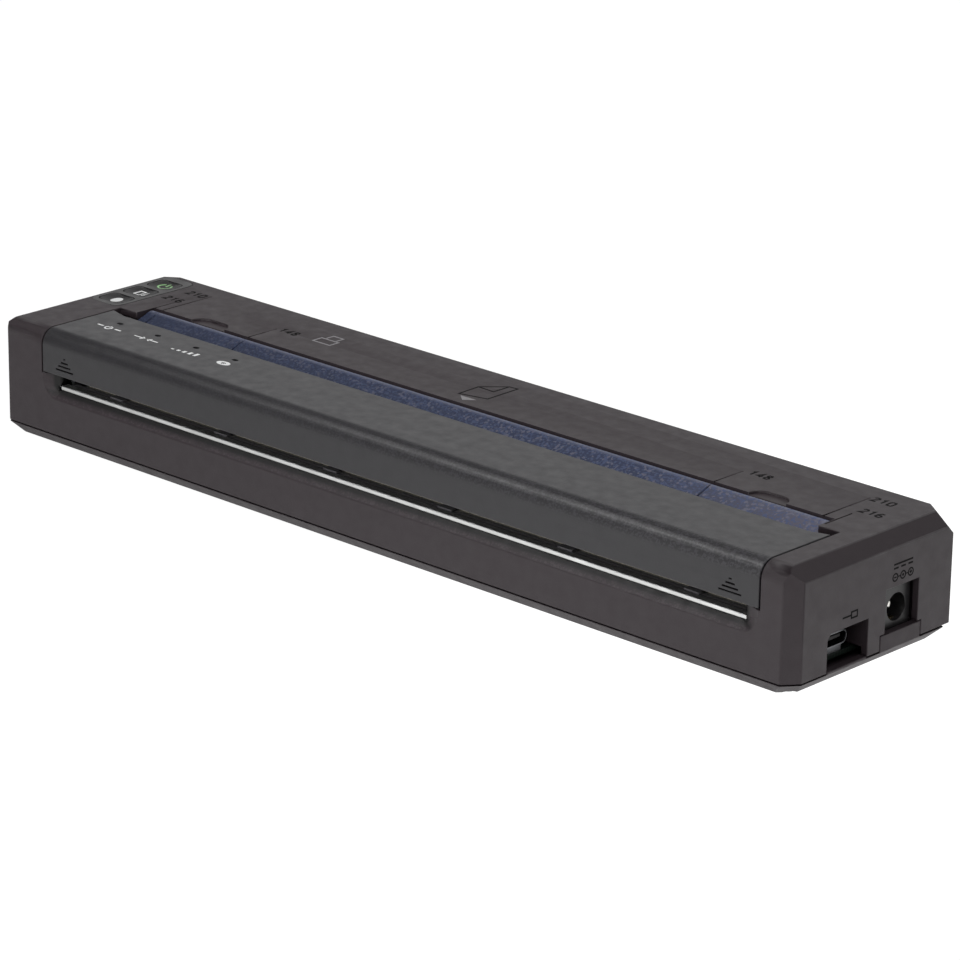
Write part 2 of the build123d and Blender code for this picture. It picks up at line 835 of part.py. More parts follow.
# ---------------------------------------------------------------- bottom case
with BuildPart() as bottom_case:
    add(tapered_floor)
    # hollow above the floor, and the lip that centres the upper case
    with BuildSketch(Plane.XY.offset(seam_bottom)):
        Polygon(*plan_points(lip_inset, lip_inset))
    extrude(amount=lip_top - seam_bottom)
    with BuildSketch(Plane.XY.offset(floor_top)):
        Polygon(*plan_points(lip_inset + lip_wall, lip_inset + lip_wall))
    extrude(amount=lip_top - floor_top + cut_reach, mode=Mode.SUBTRACT)
    # the lip leaves room for the two sockets and the battery
    for low, high in (usb_opening[:2], jack_opening[:2]):
        block(
            (end_inner - lip_cut_depth, end_inner),
            (low - lip_cut_margin, high + lip_cut_margin),
            (seam_bottom, lip_top),
            Mode.SUBTRACT,
        )
    block(
        (bay_left - lip_cut_margin, bay_right + lip_cut_margin),
        (rear_inner - lip_cut_depth, rear_inner),
        (seam_bottom, lip_top),
        Mode.SUBTRACT,
    )
    # tongues under the two sockets
    block((end_inner, half_length), socket_tongue_span, (seam_bottom, socket_tongue_top))
    block(
        (end_inner, half_length),
        (usb_opening[0] + socket_tongue_gap, usb_opening[1] - socket_tongue_gap),
        (seam_bottom, usb_opening[2] - socket_tongue_gap / 2),
    )
    # bosses
    for x, y in case_screws_at:
        post(x, y, floor_top - fuse, boss_floor_top, boss_radius)
    for x, y in board_posts_at:
        post(x, y, floor_top - fuse, board_floor, board_post_radius)
    for x, y in chassis_posts_at:
        post(x, y, floor_top - fuse, chassis_floor, chassis_post_radius)
    # battery bay: a ledge all round carries the tongues of its cover
    block((bay_left, bay_right), (bay_front, half_depth + cut_reach), (0, lip_top), Mode.SUBTRACT)
    block(
        (bay_left - bay_rail_tongue - bay_gap, bay_right + bay_rail_tongue + bay_gap),
        (bay_front - bay_rail_tongue - bay_gap, half_depth + cut_reach),
        (bay_ledge_low, floor_top + fuse),
        Mode.SUBTRACT,
    )
    # screw holes and foot recesses
    for x, y in case_screws_at:
        post(x, y, 0, counterbore_top, counterbore_radius, Mode.SUBTRACT)
        post(x, y, 0, boss_floor_top + fuse, screw_radius + screw_slack, Mode.SUBTRACT)
    for x, y in board_posts_at + chassis_posts_at:
        post(x, y, floor_top, chassis_floor + fuse, small_screw_radius, Mode.SUBTRACT)
    for x, y in feet_at:
        post(x, y, 0, floor_bottom + foot_recess, foot_radius, Mode.SUBTRACT)
bottom_case.part.label = "bottom_case"
export_step(bottom_case.part, "parts/bottom_case.step")

# ---------------------------------------------------------------- release cover
rib_row = [
    slot_left + (slot_right - slot_left) * (number + 0.5) / rib_count for number in range(rib_count)
]
rib_underside = platen_z + platen_radius + rib_platen_gap
stripe_rows = [
    (stripe_base + stripe_pitch * number, width) for number, width in enumerate(stripe_widths)
]
knuckle_left = (cover_left + cover_end_wall, frame_left_outer - knuckle_side_gap)
knuckle_right = (frame_right_outer + knuckle_side_gap, cover_right - cover_end_wall)

with BuildPart() as cover_zone:
    with BuildSketch(Plane.XY.offset(cover_bottom)):
        Polygon(
            (cover_left, front - cut_reach),
            (cover_right, front - cut_reach),
            (cover_right, ear_rear),
            (cover_right - ear_width, cover_rear),
            (cover_left + ear_width, cover_rear),
            (cover_left, ear_rear),
        )
    extrude(amount=case_height)

with BuildPart() as release_cover:
    add(outer_form)
    add(cover_zone.part, mode=Mode.INTERSECT)
    with BuildSketch(Plane.YZ.offset(cover_left + cover_end_wall)) as hollow:
        Polygon(
            (front_inner, ledge_top),
            (front_inner, cover_ceiling),
            (end_zone_rear, cover_ceiling),
            (end_zone_rear, ledge_top),
        )
        crown = hollow.vertices().group_by(Axis.Y)[-1].sort_by(Axis.X)[0]
        fillet(crown, radius=front_round - wall)
    extrude(amount=cover_right - cover_left - 2 * cover_end_wall, mode=Mode.SUBTRACT)
    # the end walls are deep only at the front
    block(
        (cover_left - fuse, cover_right + fuse),
        (front_inner + skirt_front_depth, end_zone_rear),
        (ledge_top, skirt_bottom),
        Mode.SUBTRACT,
    )
    # stiffening ribs behind the front wall
    for x in rib_row:
        profile_bar(
            (
                (front_inner - fuse, cover_bottom + rib_foot_rise),
                (front_inner - fuse, cover_ceiling - rib_crown_inset),
                (front_inner + rib_crown_inset, cover_ceiling + fuse),
                (platen_y + rib_rear_reach, cover_ceiling + fuse),
                (platen_y + rib_rear_reach, rib_underside),
                (platen_y - rib_front_reach, rib_underside),
                (front_inner + rib_toe[0], cover_bottom + rib_toe[1]),
            ),
            x - rib_thickness / 2,
            x + rib_thickness / 2,
        )
    # hinge knuckles hang from the top
    for low, high in (knuckle_left, knuckle_right):
        rod(hinge_y, hinge_z, low, high, knuckle_radius)
        block(
            (low, high),
            (hinge_y - knuckle_radius, hinge_y + knuckle_radius),
            (hinge_z, cover_ceiling + fuse),
        )
    for low, high in (knuckle_left, knuckle_right):
        rod(hinge_y, hinge_z, low, high, hinge_pin_radius + running_clearance, Mode.SUBTRACT)
    # posts under the top that carry the indicator board
    for x in ((led_row[0] + led_row[1]) / 2, (led_row[-2] + led_row[-1]) / 2):
        post(x, led_y - led_post_offset, led_board_top, cover_ceiling + fuse, led_post_radius)
    # oval holes of the indicators
    with BuildSketch(Plane.XY.offset(cover_ceiling - fuse)):
        with Locations(*((x, led_y) for x in led_row)):
            SlotOverall(led_lens[0], led_lens[1])
    extrude(amount=cover_skin + cut_reach, mode=Mode.SUBTRACT)
    # ridged triangles at both ends of the front face
    for x in (cover_left + stripe_inset, cover_right - stripe_inset):
        for z, width in stripe_rows:
            block(
                (x - width / 2, x + width / 2),
                (front - fuse, front + stripe_depth),
                (z - stripe_height / 2, z + stripe_height / 2),
                Mode.SUBTRACT,
            )
release_cover.part.label = "release_cover"
export_step(release_cover.part, "parts/release_cover.step")

# ---------------------------------------------------------------- hinge, paper guides and tear bar
with BuildPart() as hinge_pins:
    rod(hinge_y, hinge_z, knuckle_left[0], frame_left_inner, hinge_pin_radius)
    rod(hinge_y, hinge_z, frame_right_inner, knuckle_right[1], hinge_pin_radius)
hinge_pins.part.label = "hinge_pins"
export_step(hinge_pins.part, "parts/hinge_pins.step")

ramp_top = (inlet_rear - ramp_rear_gap, case_height)
ramp_slope = (ramp_top[1] - ramp_foot[1]) / (ramp_top[0] - ramp_foot[0])
guide_front = (ramp_top, ramp_foot, guide_throat, guide_bend, guide_lip)
with BuildPart() as inlet_guide:
    with BuildSketch(Plane.YZ.offset(frame_left_inner)):
        with BuildLine():
            Polyline(*guide_front)
            offset(amount=guide_wall, side=Side.LEFT)
        make_face()
    extrude(amount=frame_right_inner - frame_left_inner)
    crest = inlet_guide.edges().filter_by(Axis.X).group_by(Axis.Z)[-1]
    fillet(crest, radius=ramp_crest_round)
    # the left rear corner is round
    with BuildSketch(Plane.XY.offset(ramp_foot[1] - guide_wall)):
        with Locations((frame_left_inner + ramp_corner / 2, inlet_rear - ramp_corner / 2)):
            Rectangle(ramp_corner, ramp_corner)
        with Locations((frame_left_inner + ramp_corner, inlet_rear - ramp_corner)):
            Circle(ramp_corner, mode=Mode.SUBTRACT)
    extrude(amount=case_height - ramp_foot[1] + guide_wall, mode=Mode.SUBTRACT)
    # grooves carry the paper lines down the ramp
    for mark in ramp_groove_marks:
        x = paper_middle + guide_line_marks[mark][0]
        profile_bar(
            (
                (ramp_foot[0] - fuse, ramp_foot[1] - ramp_groove[1] - fuse * ramp_slope),
                (ramp_top[0] + fuse, ramp_top[1] - ramp_groove[1] + fuse * ramp_slope),
                (ramp_top[0] + fuse, case_height + cut_reach),
                (ramp_foot[0] - fuse, case_height + cut_reach),
            ),
            x - ramp_groove[0] / 2,
            x + ramp_groove[0] / 2,
            Mode.SUBTRACT,
        )
    for number in range(guide_rib_count):
        share = (number + 0.5) / guide_rib_count
        x = frame_left_inner + (frame_right_inner - frame_left_inner) * share
        profile_bar(
            (
                (guide_lip[0] + guide_rib_toe, chassis_top),
                (frame_rear - guide_rib_rear_gap, chassis_top),
                (frame_rear - guide_rib_rear_gap, guide_throat[1]),
                (guide_throat[0] + guide_wall - fuse, guide_throat[1]),
                (guide_bend[0] + guide_wall - fuse, guide_bend[1]),
            ),
            x - rib_thickness / 2,
            x + rib_thickness / 2,
        )
inlet_guide.part.label = "inlet_guide"
export_step(inlet_guide.part, "parts/inlet_guide.step")

tear_bar_front = recess_rear + tear_bar_setback
with BuildPart() as tear_bar:
    with BuildSketch(Plane.YZ.offset(slot_left + slot_play)):
        with Locations((tear_bar_front + tear_bar_depth / 2, slot_floor + tear_bar_height / 2)):
            Rectangle(tear_bar_depth, tear_bar_height)
    extrude(amount=slot_right - slot_left - 2 * slot_play)
    nose = tear_bar.edges().filter_by(Axis.X).group_by(Axis.Y)[0]
    fillet(nose, radius=tear_bar_height / 2 - nose_flat)
tear_bar.part.label = "tear_bar"
export_step(tear_bar.part, "parts/tear_bar.step")

exit_guide_rear = heat_sink_front - head_swing_gap
exit_guide_front = front_inner + rail_thickness + part_gap
exit_top = slot_floor + tear_bar_height
with BuildPart() as exit_guide:
    block(
        (frame_left_inner, frame_right_inner),
        (exit_guide_rear - exit_guide_wall, exit_guide_rear),
        (chassis_top, exit_top),
    )
    block(
        (frame_left_inner, frame_right_inner),
        (exit_guide_front, exit_guide_rear),
        (exit_top - exit_guide_rise, exit_top),
    )
    for number in range(exit_rib_count):
        x = paper_middle + exit_rib_pitch * (number - (exit_rib_count - 1) / 2)
        block(
            (x - exit_rib[0] / 2, x + exit_rib[0] / 2),
            (exit_guide_front, exit_guide_rear),
            (exit_top, exit_top + exit_rib[1]),
        )
exit_guide.part.label = "exit_guide"
export_step(exit_guide.part, "parts/exit_guide.step")

# ---------------------------------------------------------------- chassis
frame_front_edge = exit_guide_rear - exit_guide_wall
slot_half = bushing_radius + running_clearance


def side_frame_points(rear_edge, rear_floor):
    """Outline of a side frame in (y, z), up to a rear edge whose foot has its own height."""
    return (
        (frame_front_edge, chassis_top),
        (frame_front_edge, frame_top),
        (hinge_y, frame_top),
        (hinge_y + saddle_start, hinge_z - saddle_drop),
        (guide_bend[0] + frame_saddle_margin, frame_saddle),
        (end_zone_rear - part_gap, frame_saddle),
        (end_zone_rear - part_gap, frame_rear_top),
        (rear_edge, frame_rear_top),
        (rear_edge, rear_floor),
        (frame_rear, rear_floor),
        (frame_rear, chassis_top),
    )


def side_frame(low, high, rear_edge, rear_floor):
    """Side frame between two places on X, with its platen slot and hinge eye."""
    with BuildPart() as frame:
        profile_bar(side_frame_points(rear_edge, rear_floor), low, high)
        rod(hinge_y, hinge_z, low, high, knuckle_radius - eye_step)
        rod(platen_y, platen_z, low, high, slot_half, Mode.SUBTRACT)
        block(
            (low, high),
            (platen_y - slot_half, platen_y + slot_half),
            (platen_z, frame_top + cut_reach),
            Mode.SUBTRACT,
        )
        rod(hinge_y, hinge_z, low, high, hinge_pin_radius, Mode.SUBTRACT)
        rod(head_pivot_y, head_pivot_z, low, high, gear_pin_radius, Mode.SUBTRACT)
    return frame.part


motor_frame_rear = motor_axle[0] + motor_frame_margin
left_plate = side_frame(frame_left_outer, frame_left_inner, motor_frame_rear, motor_frame_floor)
right_plate = side_frame(frame_right_inner, frame_right_outer, frame_rear, chassis_top)
foot_left = (frame_left_outer, frame_left_inner + frame_foot[0])
foot_right = (frame_right_inner - frame_foot[0], frame_right_outer)
foot_span = (frame_rear - frame_foot[1], frame_rear)
foot_top = chassis_top + frame_foot[2]
motor_screw_reach = motor_ear_hole_spacing / 2
motor_screws_at = [step_from(motor_axle, side * motor_screw_reach, motor_ear_turn) for side in (-1, 1)]

with BuildPart() as side_frame_left:
    add(left_plate)
    block(foot_left, foot_span, (chassis_top, foot_top))
    for axle in (idler_axle, reduction_axle):
        rod(*axle, frame_left_outer, frame_left_inner, gear_pin_radius, Mode.SUBTRACT)
    rod(*motor_axle, frame_left_outer, frame_left_inner, motor_boss_radius + running_clearance, Mode.SUBTRACT)
    for place in motor_screws_at:
        rod(*place, frame_left_outer, frame_left_inner, small_screw_radius, Mode.SUBTRACT)
    post(*chassis_rear_screws[0], chassis_top, foot_top, small_screw_radius, Mode.SUBTRACT)
side_frame_left.part.label = "side_frame_left"
export_step(side_frame_left.part, "parts/side_frame_left.step")

with BuildPart() as side_frame_right:
    add(right_plate)
    block(foot_right, foot_span, (chassis_top, foot_top))
    post(*chassis_rear_screws[1], chassis_top, foot_top, small_screw_radius, Mode.SUBTRACT)
side_frame_right.part.label = "side_frame_right"
export_step(side_frame_right.part, "parts/side_frame_right.step")

with BuildPart() as chassis_plate:
    block((frame_left_outer, frame_right_outer), (frame_front_edge, frame_rear), (chassis_floor, chassis_top))
    # rear edge folded down to stiffen the plate
    block(
        (frame_left_inner + chassis_fold_inset, frame_right_inner - chassis_fold_inset),
        (frame_rear - chassis_wall, frame_rear),
        (board_top + chassis_fold_gap, chassis_floor),
    )
    for x, y in chassis_posts_at:
        post(x, y, chassis_floor, chassis_top, small_screw_radius, Mode.SUBTRACT)
    # lightening windows along the plate
    with BuildSketch(Plane.XY.offset(chassis_floor)):
        with Locations((paper_middle, frame_rear - chassis_window_setback)):
            with GridLocations(chassis_window_pitch, 1, chassis_window_count, 1):
                SlotOverall(*chassis_window)
    extrude(amount=chassis_wall, mode=Mode.SUBTRACT)
chassis_plate.part.label = "chassis_plate"
export_step(chassis_plate.part, "parts/chassis_plate.step")


def small_screw(x, y, seat, length):
    """Small pan-head screw whose head sits on a seat height."""
    post(x, y, seat, seat + small_head_height, small_head_radius)
    post(x, y, seat - length, seat, small_screw_radius)


with BuildPart() as chassis_screws:
    for x, y in chassis_front_screws:
        small_screw(x, y, chassis_top, chassis_screw_length)
    for x, y in chassis_rear_screws:
        small_screw(x, y, foot_top, chassis_screw_length)
chassis_screws.part.label = "chassis_screws"
export_step(chassis_screws.part, "parts/chassis_screws.step")

# ---------------------------------------------------------------- platen roller
shaft_left = near_layer[0] - shaft_overhang
shaft_right = frame_right_outer + shaft_overhang
core_left = rubber_left - platen_core_overhang
core_right = rubber_right + platen_core_overhang
with BuildPart() as platen_shaft:
    rod(*platen_axle, core_left, core_right, platen_core_radius)
    rod(*platen_axle, shaft_left, shaft_right, platen_journal_radius)
platen_shaft.part.label = "platen_shaft"
export_step(platen_shaft.part, "parts/platen_shaft.step")

with BuildPart() as platen_sleeve:
    rod(*platen_axle, rubber_left, rubber_right, platen_radius)
    rod(*platen_axle, rubber_left, rubber_right, platen_core_radius, Mode.SUBTRACT)
platen_sleeve.part.label = "platen_sleeve"
export_step(platen_sleeve.part, "parts/platen_sleeve.step")

with BuildPart() as platen_bushings:
    rod(*platen_axle, frame_left_outer, frame_left_inner, bushing_radius)
    rod(*platen_axle, frame_left_inner, frame_left_inner + bushing_flange, bushing_flange_radius)
    rod(*platen_axle, frame_right_inner, frame_right_outer, bushing_radius)
    rod(*platen_axle, frame_right_inner - bushing_flange, frame_right_inner, bushing_flange_radius)
    rod(
        *platen_axle,
        frame_left_outer,
        frame_right_outer,
        platen_journal_radius + running_clearance,
        Mode.SUBTRACT,
    )
platen_bushings.part.label = "platen_bushings"
export_step(platen_bushings.part, "parts/platen_bushings.step")

# ---------------------------------------------------------------- gears and their pins
with BuildPart() as platen_gear:
    gear_disc(platen_teeth, 0, platen_axle, *near_layer)
    rod(*platen_axle, *near_layer, platen_journal_radius, Mode.SUBTRACT)
platen_gear.part.label = "platen_gear"
export_step(platen_gear.part, "parts/platen_gear.step")

gear_bore_radius = gear_pin_radius + running_clearance
with BuildPart() as idler_gear:
    gear_disc(idler_teeth, idler_turn, idler_axle, *near_layer)
    rod(*idler_axle, near_layer[0], near_layer[1] + gear_side_gap / 2, gear_pin_radius + gear_hub_wall)
    rod(*idler_axle, near_layer[0], frame_left_outer, gear_bore_radius, Mode.SUBTRACT)
idler_gear.part.label = "idler_gear"
export_step(idler_gear.part, "parts/idler_gear.step")

with BuildPart() as reduction_gear:
    gear_disc(small_teeth, small_turn, reduction_axle, far_layer[1], near_layer[1])
    gear_disc(big_teeth, 0, reduction_axle, *far_layer)
    # dished outer face with a hub left standing
    rod(*reduction_axle, far_layer[0], far_layer[0] + gear_dish_depth, gear_dish_radius, Mode.SUBTRACT)
    rod(*reduction_axle, far_layer[0], far_layer[1], gear_pin_radius + gear_hub_wall)
    rod(*reduction_axle, far_layer[0], near_layer[1], gear_bore_radius, Mode.SUBTRACT)
reduction_gear.part.label = "reduction_gear"
export_step(reduction_gear.part, "parts/reduction_gear.step")

clip_stack = clip_side_gap + clip_thickness + gear_pin_overhang
with BuildPart() as gear_pins:
    rod(*idler_axle, near_layer[0] - clip_stack, frame_left_inner, gear_pin_radius)
    rod(*reduction_axle, far_layer[0] - clip_stack, frame_left_inner, gear_pin_radius)
gear_pins.part.label = "gear_pins"
export_step(gear_pins.part, "parts/gear_pins.step")

with BuildPart() as gear_clips:
    for axle, end in ((idler_axle, near_layer[0]), (reduction_axle, far_layer[0])):
        low = end - clip_side_gap - clip_thickness
        high = end - clip_side_gap
        rod(*axle, low, high, clip_radius)
        rod(*axle, low, high, gear_pin_radius, Mode.SUBTRACT)
        block(
            (low, high),
            (axle[0] - gear_pin_radius * clip_mouth, axle[0] + gear_pin_radius * clip_mouth),
            (axle[1] - clip_radius - fuse, axle[1]),
            Mode.SUBTRACT,
        )
gear_clips.part.label = "gear_clips"
export_step(gear_clips.part, "parts/gear_clips.step")

# ---------------------------------------------------------------- stepper motor
motor_face = frame_left_inner
with BuildPart() as motor_body:
    rod(*motor_axle, motor_face, motor_face + motor_length, motor_radius)
    rod(*motor_axle, motor_face - motor_boss_length, motor_face, motor_boss_radius)
    ear_middle = (motor_face + motor_ear[2] / 2, *motor_axle)
    with Locations(Location(ear_middle, (motor_ear_turn, 0, 0))):
        Box(motor_ear[2], motor_ear[0], motor_ear[1])
    rod(
        *motor_axle,
        motor_face - motor_boss_length,
        motor_face + motor_shaft_depth,
        motor_shaft_radius + running_clearance,
        Mode.SUBTRACT,
    )
    for place in motor_screws_at:
        rod(*place, motor_face, motor_face + motor_ear[2], small_screw_radius, Mode.SUBTRACT)
motor_body.part.label = "motor_body"
export_step(motor_body.part, "parts/motor_body.step")

with BuildPart() as motor_shaft:
    rod(
        *motor_axle,
        far_layer[0] - gear_pin_overhang,
        motor_face + motor_shaft_depth - part_gap,
        motor_shaft_radius,
    )
motor_shaft.part.label = "motor_shaft"
export_step(motor_shaft.part, "parts/motor_shaft.step")

with BuildPart() as motor_pinion:
    gear_disc(pinion_teeth, pinion_turn, motor_axle, *far_layer)
    rod(*motor_axle, *far_layer, motor_shaft_radius, Mode.SUBTRACT)
motor_pinion.part.label = "motor_pinion"
export_step(motor_pinion.part, "parts/motor_pinion.step")

with BuildPart() as motor_screws:
    head_low = motor_face + motor_ear[2]
    for place in motor_screws_at:
        rod(*place, head_low, head_low + small_head_height, small_head_radius)
        rod(*place, frame_left_outer, head_low, small_screw_radius)
motor_screws.part.label = "motor_screws"
export_step(motor_screws.part, "parts/motor_screws.step")

# ---------------------------------------------------------------- print head
ceramic_top = platen_z - platen_radius - head_gap
heat_sink_top = ceramic_top - ceramic_wall
heat_sink_bottom = heat_sink_top - heat_sink_wall
head_left = frame_left_inner + heat_sink_end_gap
head_right = frame_right_inner - heat_sink_end_gap
with BuildPart() as heat_sink:
    block((head_left, head_right), (heat_sink_front, heat_sink_rear), (heat_sink_bottom, heat_sink_top))
    for low, high in ((head_left, head_left + head_ear_width), (head_right - head_ear_width, head_right)):
        rod(head_pivot_y, head_pivot_z, low, high, head_ear_radius)
        block(
            (low, high),
            (heat_sink_rear - fuse, head_pivot_y),
            (head_pivot_z - head_ear_radius, head_pivot_z + head_ear_radius),
        )
    rod(
        head_pivot_y,
        head_pivot_z,
        head_left,
        head_right,
        gear_pin_radius + running_clearance,
        Mode.SUBTRACT,
    )
heat_sink.part.label = "heat_sink"
export_step(heat_sink.part, "parts/heat_sink.step")

with BuildPart() as head_ceramic:
    block(
        (head_left + ceramic_end_inset, head_right - ceramic_end_inset),
        (ceramic_front, ceramic_rear),
        (heat_sink_top, ceramic_top),
    )
head_ceramic.part.label = "head_ceramic"
export_step(head_ceramic.part, "parts/head_ceramic.step")

with BuildPart() as head_pivot_pins:
    rod(head_pivot_y, head_pivot_z, frame_left_outer, head_left + head_ear_width, gear_pin_radius)
    rod(head_pivot_y, head_pivot_z, head_right - head_ear_width, frame_right_outer, gear_pin_radius)
head_pivot_pins.part.label = "head_pivot_pins"
export_step(head_pivot_pins.part, "parts/head_pivot_pins.step")

spring_places = [
    head_left + (head_right - head_left) * (number + 0.5) / spring_count for number in range(spring_count)
]
spring_height = heat_sink_bottom - chassis_top - 2 * spring_wire
with BuildPart() as head_springs:
    for x in spring_places:
        with BuildLine() as coil:
            Helix(
                pitch=spring_height / spring_turns,
                height=spring_height,
                radius=spring_radius,
                center=(x, spring_y, chassis_top + spring_wire),
            )
        with BuildSketch(Plane(coil.line @ 0, z_dir=coil.line % 0)) as wire:
            Circle(spring_wire)
        sweep(wire.sketch, path=coil.line)
head_springs.part.label = "head_springs"
export_step(head_springs.part, "parts/head_springs.step")

# ---------------------------------------------------------------- keypad
with BuildPart() as keypad_frame:
    with BuildSketch(Plane.XY.offset(keypad_floor)):
        with Locations(((keypad_left + keypad_right) / 2, (keypad_front + keypad_rear) / 2)):
            RectangleRounded(keypad_right - keypad_left, keypad_rear - keypad_front, keypad_corner)
    extrude(amount=keypad_frame_wall)
    with BuildSketch(Plane.XY.offset(keypad_floor)):
        with Locations(*((key_middle_x, y) for y in key_rows)):
            RectangleRounded(*key_window, key_corner)
    extrude(amount=keypad_frame_wall, mode=Mode.SUBTRACT)
keypad_frame.part.label = "keypad_frame"
export_step(keypad_frame.part, "parts/keypad_frame.step")


def key(y):
    """Dished key cap at one row, with the flange that keeps it under the case."""
    flange_top = ceiling - key_keep_gap
    flange_low = flange_top - key_flange_height
    with BuildPart() as cap:
        with BuildSketch(Plane.XY.offset(flange_low)):
            with Locations((key_middle_x, y)):
                RectangleRounded(*key_size, key_corner)
        extrude(amount=case_height - key_sink - flange_low)
        block(
            (key_middle_x - key_size[0] / 2 - key_flange, key_middle_x + key_size[0] / 2 + key_flange),
            (y - key_size[1] / 2 - key_flange, y + key_size[1] / 2 + key_flange),
            (flange_low, flange_top),
        )
        with Locations((key_middle_x, y, case_height - key_sink - key_dish_depth + key_dish_radius)):
            Sphere(key_dish_radius, mode=Mode.SUBTRACT)
    return cap.part


power_key = key(key_rows[2])
power_key.label = "power_key"
export_step(power_key, "parts/power_key.step")
feed_key = key(key_rows[1])
feed_key.label = "feed_key"
export_step(feed_key, "parts/feed_key.step")
wireless_key = key(key_rows[0])
wireless_key.label = "wireless_key"
export_step(wireless_key, "parts/wireless_key.step")

with BuildPart() as key_board:
    block(
        (key_middle_x - key_board_width / 2, key_middle_x + key_board_width / 2),
        (key_board_front, key_board_rear),
        (key_board_top - key_board_wall, key_board_top),
    )
key_board.part.label = "key_board"
export_step(key_board.part, "parts/key_board.step")

with BuildPart() as key_switches:
    for y in key_rows:
        block(
            (key_middle_x - switch_size[0] / 2, key_middle_x + switch_size[0] / 2),
            (y - switch_size[1] / 2, y + switch_size[1] / 2),
            (key_board_top, key_board_top + switch_size[2]),
        )
key_switches.part.label = "key_switches"
export_step(key_switches.part, "parts/key_switches.step")

# ---------------------------------------------------------------- indicators in the cover
with BuildPart() as led_lenses:
    for x in led_row:
        with BuildSketch(Plane.XY.offset(led_board_top)):
            with Locations((x, led_y)):
                SlotOverall(*led_lens)
        extrude(amount=case_height - led_recess - led_board_top)
led_lenses.part.label = "led_lenses"
export_step(led_lenses.part, "parts/led_lenses.step")

with BuildPart() as led_board:
    block(
        (led_row[0] - led_board_margin, led_row[-1] + led_board_margin),
        (led_y - led_board_depth[0], led_y + led_board_depth[1]),
        (led_board_top - led_board_wall, led_board_top),
    )
led_board.part.label = "led_board"
export_step(led_board.part, "parts/led_board.step")

# ---------------------------------------------------------------- main board and what stands on it
with BuildPart() as main_board:
    with BuildSketch(Plane.XY.offset(board_floor)):
        Polygon(
            (board_left, board_front),
            (board_right, board_front),
            (board_right, board_front + board_corner_cut),
            (board_socket_end, board_front + board_corner_cut),
            (board_socket_end, board_wing_rear),
            (board_wing_left, board_wing_rear),
            (board_wing_left, board_rear),
            (board_left, board_rear),
        )
    extrude(amount=board_wall)
    for x, y in board_posts_at:
        post(x, y, board_floor, board_top, small_screw_radius, Mode.SUBTRACT)
    for x, y in chassis_posts_at:
        post(x, y, board_floor, board_top, chassis_post_radius + part_gap, Mode.SUBTRACT)
main_board.part.label = "main_board"
export_step(main_board.part, "parts/main_board.step")

with BuildPart() as board_screws:
    for x, y in board_posts_at:
        small_screw(x, y, board_top, board_screw_length)
board_screws.part.label = "board_screws"
export_step(board_screws.part, "parts/board_screws.step")

with BuildPart() as board_chips:
    for (offset_x, offset_y), (width, depth, height) in chips:
        x = board_left + offset_x
        y = board_front + offset_y
        block((x - width / 2, x + width / 2), (y - depth / 2, y + depth / 2), (board_top, board_top + height))
board_chips.part.label = "board_chips"
export_step(board_chips.part, "parts/board_chips.step")

with BuildPart() as capacitors:
    for y in (
        frame_rear + capacitor_end_gap[0] + capacitor_size[0],
        board_wing_rear - capacitor_end_gap[1] - capacitor_size[0],
    ):
        post(half_length - capacitor_setback, y, board_top, board_top + capacitor_size[1], capacitor_size[0])
capacitors.part.label = "capacitors"
export_step(capacitors.part, "parts/capacitors.step")

radio_left = board_wing_left + radio_inset[0]
radio_rear = board_wing_rear - radio_inset[1]
with BuildPart() as radio_module:
    block(
        (radio_left, radio_left + radio_size[0]),
        (frame_rear + radio_front_gap, radio_rear),
        (board_top, board_top + radio_size[1]),
    )
radio_module.part.label = "radio_module"
export_step(radio_module.part, "parts/radio_module.step")

ribbon_x = key_middle_x + key_board_width / 2 - ribbon_wall
ribbon_span = (ribbon_front, ribbon_rear)
with BuildPart() as key_ribbon:
    block((ribbon_x, ribbon_x + ribbon_wall), ribbon_span, (board_top, key_board_top - key_board_wall))
    block((ribbon_x, board_left + ribbon_landing), ribbon_span, (board_top, board_top + ribbon_wall))
key_ribbon.part.label = "key_ribbon"
export_step(key_ribbon.part, "parts/key_ribbon.step")

with BuildPart() as paper_sensor:
    block(
        (paper_middle - sensor_width / 2, paper_middle + sensor_width / 2),
        (guide_bend[0] - sensor_reach[0], guide_bend[0] + sensor_reach[1]),
        (chassis_top, guide_lip[1] - guide_wall - sensor_air_gap),
    )
paper_sensor.part.label = "paper_sensor"
export_step(paper_sensor.part, "parts/paper_sensor.step")

# ---------------------------------------------------------------- data and power sockets
usb_base_reach = usb_shell[0] / 2 - usb_base_inset[1]
with BuildPart() as usb_socket:
    with BuildSketch(Plane.YZ.offset(usb_face - usb_shell[2])):
        with Locations(usb_middle):
            SlotOverall(usb_shell[0], usb_shell[1])
    extrude(amount=usb_shell[2])
    with BuildSketch(Plane.YZ.offset(usb_face - usb_shell[2] + usb_back_wall)):
        with Locations(usb_middle):
            SlotOverall(usb_shell[0] - 2 * usb_shell_wall, usb_shell[1] - 2 * usb_shell_wall)
    extrude(amount=usb_shell[2], mode=Mode.SUBTRACT)
    # moulded base between the shell and the board
    block(
        (usb_face - usb_shell[2], usb_face - usb_base_inset[0]),
        (usb_middle[0] - usb_base_reach, usb_middle[0] + usb_base_reach),
        (board_top, usb_middle[1] - usb_shell[1] / 2 + usb_shell_wall / 2),
    )
usb_socket.part.label = "usb_socket"
export_step(usb_socket.part, "parts/usb_socket.step")

